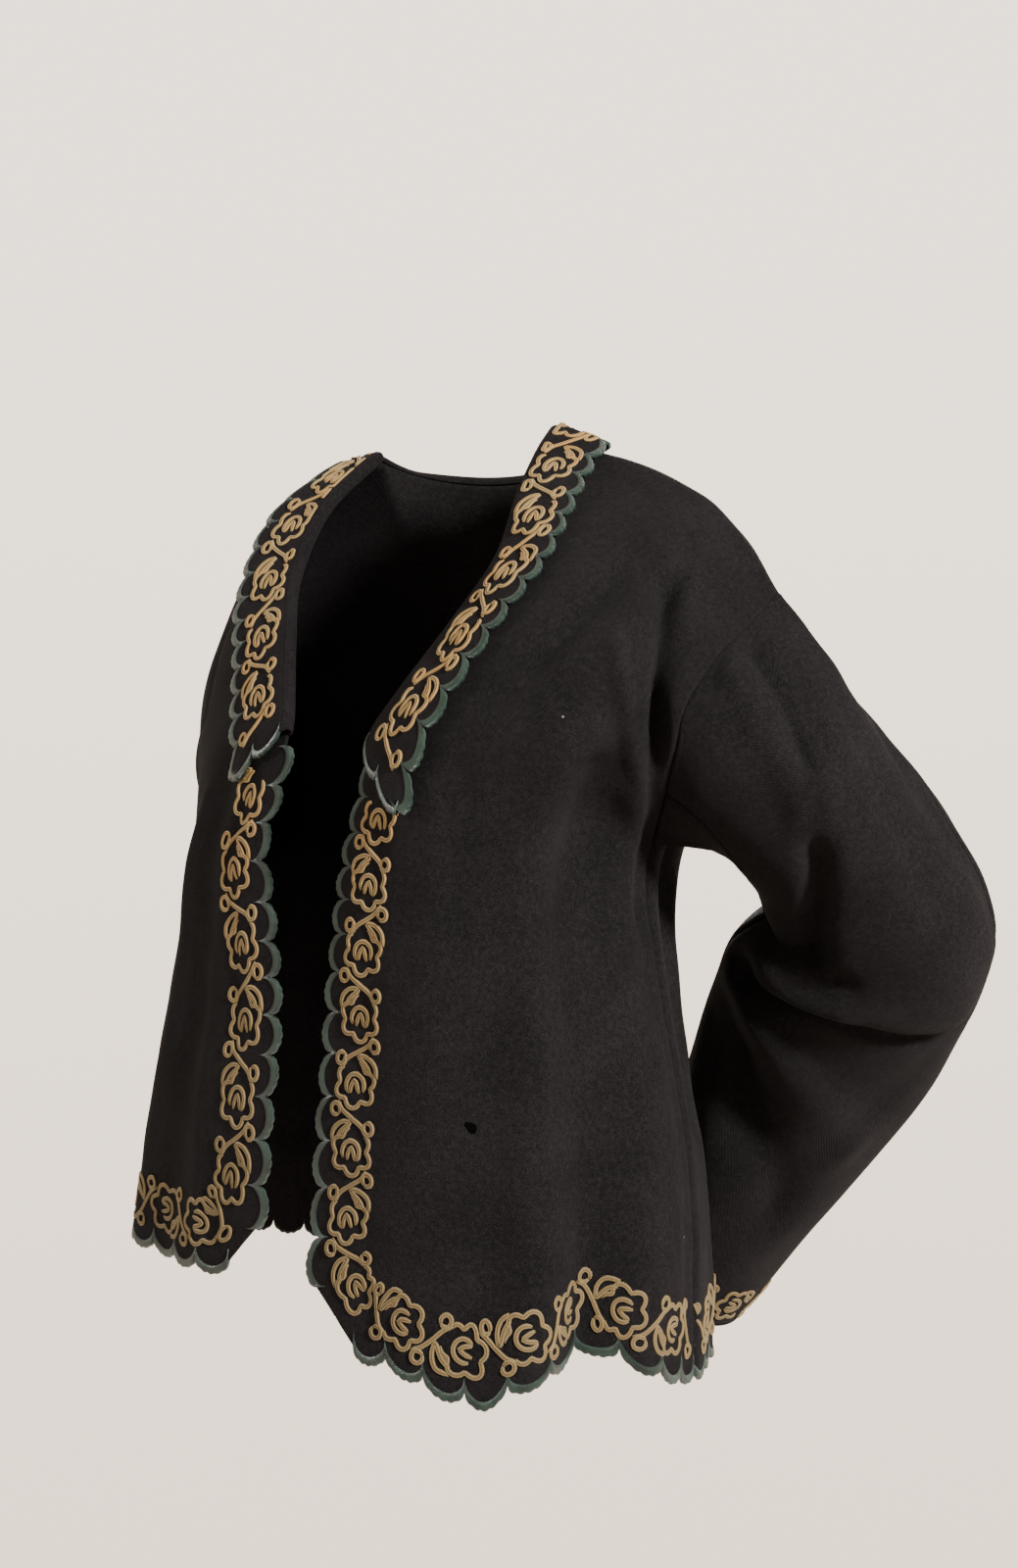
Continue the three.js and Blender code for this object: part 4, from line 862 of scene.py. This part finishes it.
def cord_tubes(panel, track, count=None, start=0.0, finish=0.0, size=1.0, seed=0):
    """flowers set evenly along a track, every second one turned over across the band"""
    run, pts, change = track
    length = run[-1] - start - finish
    n = count or max(1, round(length / PITCH))
    pitch = length / n
    rng = np.random.default_rng(seed)
    lines = []
    for i in range(n):
        for stroke, lift in flower_strokes(rng.uniform(-0.6, 0.6), size):
            x = start + (i + 0.5) * pitch + (stroke[:, 0] - FLOWER_MIDDLE) * pitch / PITCH
            inside = (x > 1.5) & (x < run[-1] - 1.5)
            if inside.sum() < 5:
                continue
            x, y = x[inside], stroke[inside, 1] * (-1 if i % 2 else 1)
            a, b = (np.interp(x, run, pts[:, c]) + y * np.interp(x, run, change[:, c]) for c in (0, 1))
            if isinstance(panel, Collar):
                b = np.maximum(b, 2.5)
            else:
                b = np.minimum(b, 0.9995)
                if isinstance(panel, Panel) and not panel.wraps:
                    a = np.clip(a, 0.0005, 0.9995)
            lines.append((a, b, lift))
    a_all, b_all = (np.concatenate([line[c] for line in lines]) for c in (0, 1))
    p_all, n_all = panel.at(a_all, b_all), panel.normal(a_all, b_all)
    out, at = [], 0
    for a, _, lift in lines:
        steps = np.arange(len(a))
        p, n = p_all[at:at + len(a)], n_all[at:at + len(a)]
        at += len(a)
        across = unit(np.cross(n, unit(np.gradient(p, axis=0))))
        taper = np.minimum(1, 0.55 + 0.45 * np.minimum(steps, steps[::-1]) / 2.0)[:, None, None]
        rise = (CORD_LIFT[None, :, None] - FOOT) * taper + FOOT + lift
        rings = p[:, None] + across[:, None] * (CORD_WIDTH[None, :, None] * taper) + n[:, None] * rise
        flat = 0 * rings[:, :, 0]
        out.append((rings, np.stack([run_along(p)[:, None] + flat, CORD_WIDTH[None, :] + flat], -1)))
    return out


BAND_MIDDLE, COLLAR_BAND, CUFF_BAND = 22.0, 20.0, 21.0      # the corded border's middle, in from the notches


def front_track(side):
    """down the front edge, round the corner in an arc, and along the hem"""
    panel, (vc, sc) = FRONT[side], CORNER[side]
    v = np.linspace(BREAK + (0.045 if side == 1 else 0.03), vc - 0.055, 60)
    s_edge = BAND_MIDDLE / panel.steps(0 * v, v)[0]
    s = np.linspace(sc + 0.075, 0.995, 50)
    v_hem = 1 - BAND_MIDDLE / panel.steps(s, 0 * s + 1)[1]
    t = np.linspace(0, 1, 14)[1:-1]
    a0, a2, mid = np.array([s_edge[-1], v[-1]]), np.array([s[0], v_hem[0]]), np.array([s_edge[-1] * 1.1, v_hem[0]])
    arc = (1 - t)[:, None] ** 2 * a0 + 2 * (t * (1 - t))[:, None] * mid + t[:, None] ** 2 * a2
    pts = np.concatenate([np.column_stack([s_edge, v]), arc, np.column_stack([s, v_hem])])
    hint = np.concatenate([np.tile((1, 0), (60, 1)), np.column_stack([1 - t, -t / 2]), np.tile((0, -1), (50, 1))])
    return border_track(panel, pts, hint)


def back_track():
    """along the back's hem, from seam to seam"""
    s = np.linspace(-0.995, 0.995, 120)
    v = 1 - BAND_MIDDLE / WHOLE_BACK.steps(s, 0 * s + 1)[1]
    return border_track(WHOLE_BACK, np.column_stack([s, v]), (0, -1))


def collar_track(side):
    """along the collar's outer edge"""
    k = np.linspace(0.1, COLLAR_STATIONS - 0.2, 90)
    b = COLLAR[side].width(k) - COLLAR_BAND
    return border_track(COLLAR[side], np.column_stack([k, b]), (0, -1))


def cuff_track(side):
    """round the cuff"""
    q = np.linspace(0, 1, 90)
    t = 1 - CUFF_BAND / ARM[side].steps(q, 0 * q + 1)[1]
    return border_track(ARM[side], np.column_stack([q, t]), (0, -1))


# ---- materials ------------------------------------------------------------------------------------
class Value:
    """A socket that adds, multiplies and compares like a number by adding Math nodes."""

    def __init__(self, build, socket):
        self.build, self.socket = build, socket

    def _math(self, op, *args):
        return self.build.node("ShaderNodeMath", {"operation": op}, dict(enumerate(args)))

    def __add__(self, o): return self._math("ADD", self, o)
    def __radd__(self, o): return self._math("ADD", o, self)
    def __rsub__(self, o): return self._math("SUBTRACT", o, self)
    def __mul__(self, o): return self._math("MULTIPLY", self, o)
    def __rmul__(self, o): return self._math("MULTIPLY", o, self)
    def __gt__(self, o): return self._math("GREATER_THAN", self, o)

    def sin(self): return self._math("SINE", self)
    def abs(self): return self._math("ABSOLUTE", self)

    def between(self, low, high):
        """0 at low, 1 at high, smooth and clamped"""
        return self.build.node("ShaderNodeMapRange", {"interpolation_type": "SMOOTHSTEP"},
                               {"Value": self, "From Min": low, "From Max": high})


class Nodes:
    """Adds nodes to one tree."""

    def __init__(self, tree):
        self.tree = tree

    def node(self, kind, settings=None, sockets=None, out=0):
        n = self.tree.nodes.new(kind)
        for key, value in (settings or {}).items():
            setattr(n, key, value)
        for key, value in (sockets or {}).items():
            if isinstance(value, Value):
                self.tree.links.new(value.socket, n.inputs[key])
            else:
                n.inputs[key].default_value = value
        return Value(self, n.outputs[out])

    def place(self):
        return self.node("ShaderNodeTexCoord", out="Object")

    def cut(self):
        """the piece's own cut, in metres along or across and down"""
        return self.split(self.node("ShaderNodeUVMap", {"uv_map": "cut"}))

    def split(self, vector):
        n = self.tree.nodes.new("ShaderNodeSeparateXYZ")
        self.tree.links.new(vector.socket, n.inputs[0])
        return [Value(self, out) for out in n.outputs]

    def noise(self, scale, detail=2.0, roughness=0.5):
        return self.node("ShaderNodeTexNoise", None,
                         {"Vector": self.place(), "Scale": scale, "Detail": detail, "Roughness": roughness})

    def mix(self, factor, a, b):
        """colour a where the factor is 0, b where it is 1"""
        a, b = (c if isinstance(c, Value) else (*c, 1) for c in (a, b))
        return self.node("ShaderNodeMix", {"data_type": "RGBA"}, {0: factor, 6: a, 7: b}, out=2)

    def bump(self, height, distance, strength):
        return self.node("ShaderNodeBump", None, {"Height": height, "Distance": distance, "Strength": strength})


class Finish(Nodes):
    """One material: a Principled shader and the nodes that feed it."""

    def __init__(self, name, roughness, sheen=0.0, sheen_roughness=0.5, sheen_tint=(1, 1, 1), specular=0.5,
                 anisotropic=0.0):
        self.material = bpy.data.materials.new(name)
        self.material.use_nodes = True
        super().__init__(self.material.node_tree)
        self.shader = self.tree.nodes["Principled BSDF"]
        for socket, value in {"Roughness": roughness, "Sheen Weight": sheen, "Sheen Roughness": sheen_roughness,
                              "Sheen Tint": (*sheen_tint, 1), "Specular IOR Level": specular,
                              "Anisotropic": anisotropic}.items():
            self.shader.inputs[socket].default_value = value

    def feed(self, socket, value):
        self.tree.links.new(value.socket, self.shader.inputs[socket])


def wool():
    """black milled wool: fine uneven weave under a nap, a few pale bits of lint"""
    f = Finish("black_wool", 0.9, sheen=0.004, sheen_roughness=0.4, sheen_tint=(0.88, 0.8, 0.8), specular=0.035)
    across, down, _ = f.cut()
    nap = f.noise(950.0, 3.0, 0.7)
    tufts = f.noise(330.0, 3.0, 0.6)
    cloud = f.noise(22.0, 3.0, 0.55)
    weave = (across * (2 * math.pi / 0.00105)).sin() * (down * (2 * math.pi / 0.00115)).sin()
    shade = nap * 0.62 + tufts * 0.36 + cloud * 0.22 + weave * 0.14
    colour = f.mix(shade.between(0.48, 0.80), (0.0007, 0.0006, 0.00065), (0.0051, 0.0044, 0.0047))
    specks = f.node("ShaderNodeTexVoronoi", {"feature": "F1"},
                    {"Vector": f.place(), "Scale": 62.0, "Randomness": 1.0}, out="Distance")
    pick = f.noise(37.0, 1.0, 0.5)
    lint = (1 - specks.between(0.03, 0.055)) * (pick > 0.62)
    colour = f.mix(lint * 0.55, colour, (0.10, 0.09, 0.085))
    f.feed("Base Color", colour)
    f.feed("Roughness", tufts * 0.12 + 0.84)
    f.feed("Normal", f.bump(nap * 0.6 + tufts * 0.7 + weave * 0.35, 0.0007, 0.85))
    return f.material


def cord_wool():
    """two-ridged braid: slanting threads, painted shade in the groove between the ridges and on the flanks; olive at
    the hem, ochre on the collar
    """
    f = Finish("tan_braid", 0.62, sheen=0.05, sheen_roughness=0.4, sheen_tint=(1, 0.92, 0.75), specular=0.12)
    along, across, _ = f.cut()
    slant = (along * (2 * math.pi / 0.0012) + across.abs() * (2 * math.pi / 0.0016)).sin()
    z = f.split(f.place())[2]
    high = z.between(-0.44, -0.16)
    drift = f.noise(26.0, 2.0).between(0.35, 0.65)
    low_colour = f.mix(drift, (0.044, 0.034, 0.013), (0.057, 0.044, 0.018))
    high_colour = f.mix(drift, (0.124, 0.072, 0.020), (0.108, 0.076, 0.027))
    colour = f.mix(high, low_colour, high_colour)
    # painted shade: the groove between the two ridges is coloured darker, where shade falls
    groove = 1 - across.abs().between(0.00022, 0.00062)
    thread = slant * 0.5 + 0.5
    colour = f.mix(thread * 0.35, colour, (0.070, 0.042, 0.015))
    # painted shade laid into the groove
    colour = f.mix(groove * 0.88, colour, (0.030, 0.017, 0.006))
    # painted shade: the cord's outer flanks, where they turn down to the cloth, are coloured darker
    side = across.abs().between(0.00100, 0.00150)
    colour = f.mix(side * 0.8, colour, (0.036, 0.021, 0.008))
    f.feed("Base Color", colour)
    f.feed("Normal", f.bump(slant * 0.5 + f.noise(2600.0, 2.0) * 0.6, 0.00018, 0.7))
    return f.material


def satin():
    """satin stitch across the scallops: fine close threads, silky, greyer towards the neck, darker at the hem"""
    f = Finish("green_satin", 0.42, sheen=0.02, sheen_tint=(0.8, 1.0, 0.9), specular=0.22, anisotropic=0.3)
    along, across, _ = f.cut()
    wander = f.noise(140.0, 2.0)
    threads = ((along + wander * 0.0006) * (2 * math.pi / 0.00048)).sin()
    z = f.split(f.place())[2]
    high = z.between(-0.40, -0.12)
    patch = f.noise(75.0, 3.0).between(0.35, 0.7)
    low_colour = f.mix(patch, (0.001, 0.0042, 0.0024), (0.004, 0.0135, 0.008))
    high_colour = f.mix(patch, (0.0015, 0.0072, 0.0044), (0.008, 0.0195, 0.0125))
    colour = f.mix(high, low_colour, high_colour)
    colour = f.mix((threads * 0.5 + 0.5) * 0.35, colour, (0.001, 0.004, 0.0027))
    f.feed("Base Color", colour)
    f.feed("Roughness", patch * 0.15 + 0.34)
    f.feed("Normal", f.bump(threads * 0.5 + f.noise(700.0, 3.0) * 1.6, 0.00045, 0.9))
    return f.material


# ---- making ---------------------------------------------------------------------------------------
wool_cloth, braid, stitch = wool(), cord_wool(), satin()
pieces, trims = {}, {}
FRONT_FLOWERS = {1: 14, -1: 11}     # the right front is drawn aside, so fewer flowers fit on it
COLLAR_FLOWERS = 8


def satin_piece(place, bands):
    return joined_tubes("satin_" + place, bands, stitch)


def cord_piece(place, panel, track, **how):
    return joined_tubes("cord_" + place, cord_tubes(panel, track, **how), braid)


for side, hand in ((1, "left"), (-1, "right")):
    front, collar, top = f"front_{hand}", f"collar_{hand}", f"sleeve_{hand}_top"
    pieces[front], front_counts = front_cloth(side, wool_cloth, front)
    pieces[collar], collar_counts = collar_cloth(side, wool_cloth, collar)
    trims[front] = [satin_piece(front, front_bands(side, front_counts)),
                    cord_piece(front, FRONT[side], front_track(side), count=FRONT_FLOWERS[side],
                               start=2, finish=8, seed=11 + side)]
    trims[collar] = [satin_piece(collar, collar_bands(side, collar_counts)),
                     cord_piece(collar, COLLAR[side], collar_track(side), count=COLLAR_FLOWERS,
                                finish=6, size=0.95, seed=21 + side)]
    for node, seams in ((top, TOP_SEAMS), (f"sleeve_{hand}_under", UNDER_SEAMS)):
        pieces[node] = sleeve_cloth(side, seams, node, wool_cloth)
    trims[top] = [cord_piece("cuff_" + hand, ARM[side], cuff_track(side), size=0.9, seed=31 + side)]
pieces["back"], back_count = back_cloth(wool_cloth)
trims["back"] = [satin_piece("back", [hem_band(WHOLE_BACK, -1, back_count)]),
                 cord_piece("back", WHOLE_BACK, back_track(), seed=5)]


# ---- stage ----------------------------------------------------------------------------------------
FLOOR_SIZE, FLOOR_HEIGHT, FLOOR_SIDES = 1.45, -1.45, 96


def softbox(name, at, aim, size, power, colour):
    """a round lamp at a point in metres, turned towards aim"""
    lamp = bpy.data.lights.new(name, "AREA")
    lamp.shape, lamp.size, lamp.energy, lamp.color = "DISK", size, power, colour
    obj = bpy.data.objects.new(name, lamp)
    obj.location = at
    obj.rotation_euler = (Vector(aim) - Vector(at)).to_track_quat("-Z", "Y").to_euler()
    bpy.context.scene.collection.objects.link(obj)


softbox("key", (2.45, -0.6, 0.6), (0.05, 0, -0.25), 0.42, 600, (1, 0.955, 0.95))
softbox("side", (-1.7, -2.2, 0.7), (0, 0, -0.3), 0.5, 130, (1, 0.965, 0.95))
softbox("behind", (-1.3, 2.3, 0.8), (0, 0.1, -0.3), 0.6, 200, (1, 0.965, 0.95))
floor = bpy.data.objects.new("floor", bpy.data.meshes.new("floor"))
ring = np.linspace(0, 2 * np.pi, FLOOR_SIDES + 1)[:-1]
floor.data.from_pydata([(FLOOR_SIZE * np.cos(a), FLOOR_SIZE * np.sin(a), FLOOR_HEIGHT) for a in ring], [],
                       [list(range(FLOOR_SIDES))])
bpy.context.scene.collection.objects.link(floor)
paint = Finish("pale floor", 0.9)
paint.shader.inputs["Base Color"].default_value = (0.62, 0.57, 0.51, 1)
floor.data.materials.append(paint.material)
world = bpy.data.worlds.new("studio")
bpy.context.scene.world = world
world.use_nodes = True
sky = Nodes(world.node_tree)
height = sky.split(sky.node("ShaderNodeTexCoord"))[2]
wall = sky.mix(height.between(-0.35, 0.35), (2.2, 1.82, 1.45), (2.7, 2.3, 1.94))
room = sky.mix(height.between(-0.92, -0.62), (0.02, 0.018, 0.016), wall)
room = sky.mix(height.between(0.55, 0.85), room, (0.30, 0.28, 0.26))
sky.tree.links.new(room.socket, world.node_tree.nodes["Background"].inputs["Color"])
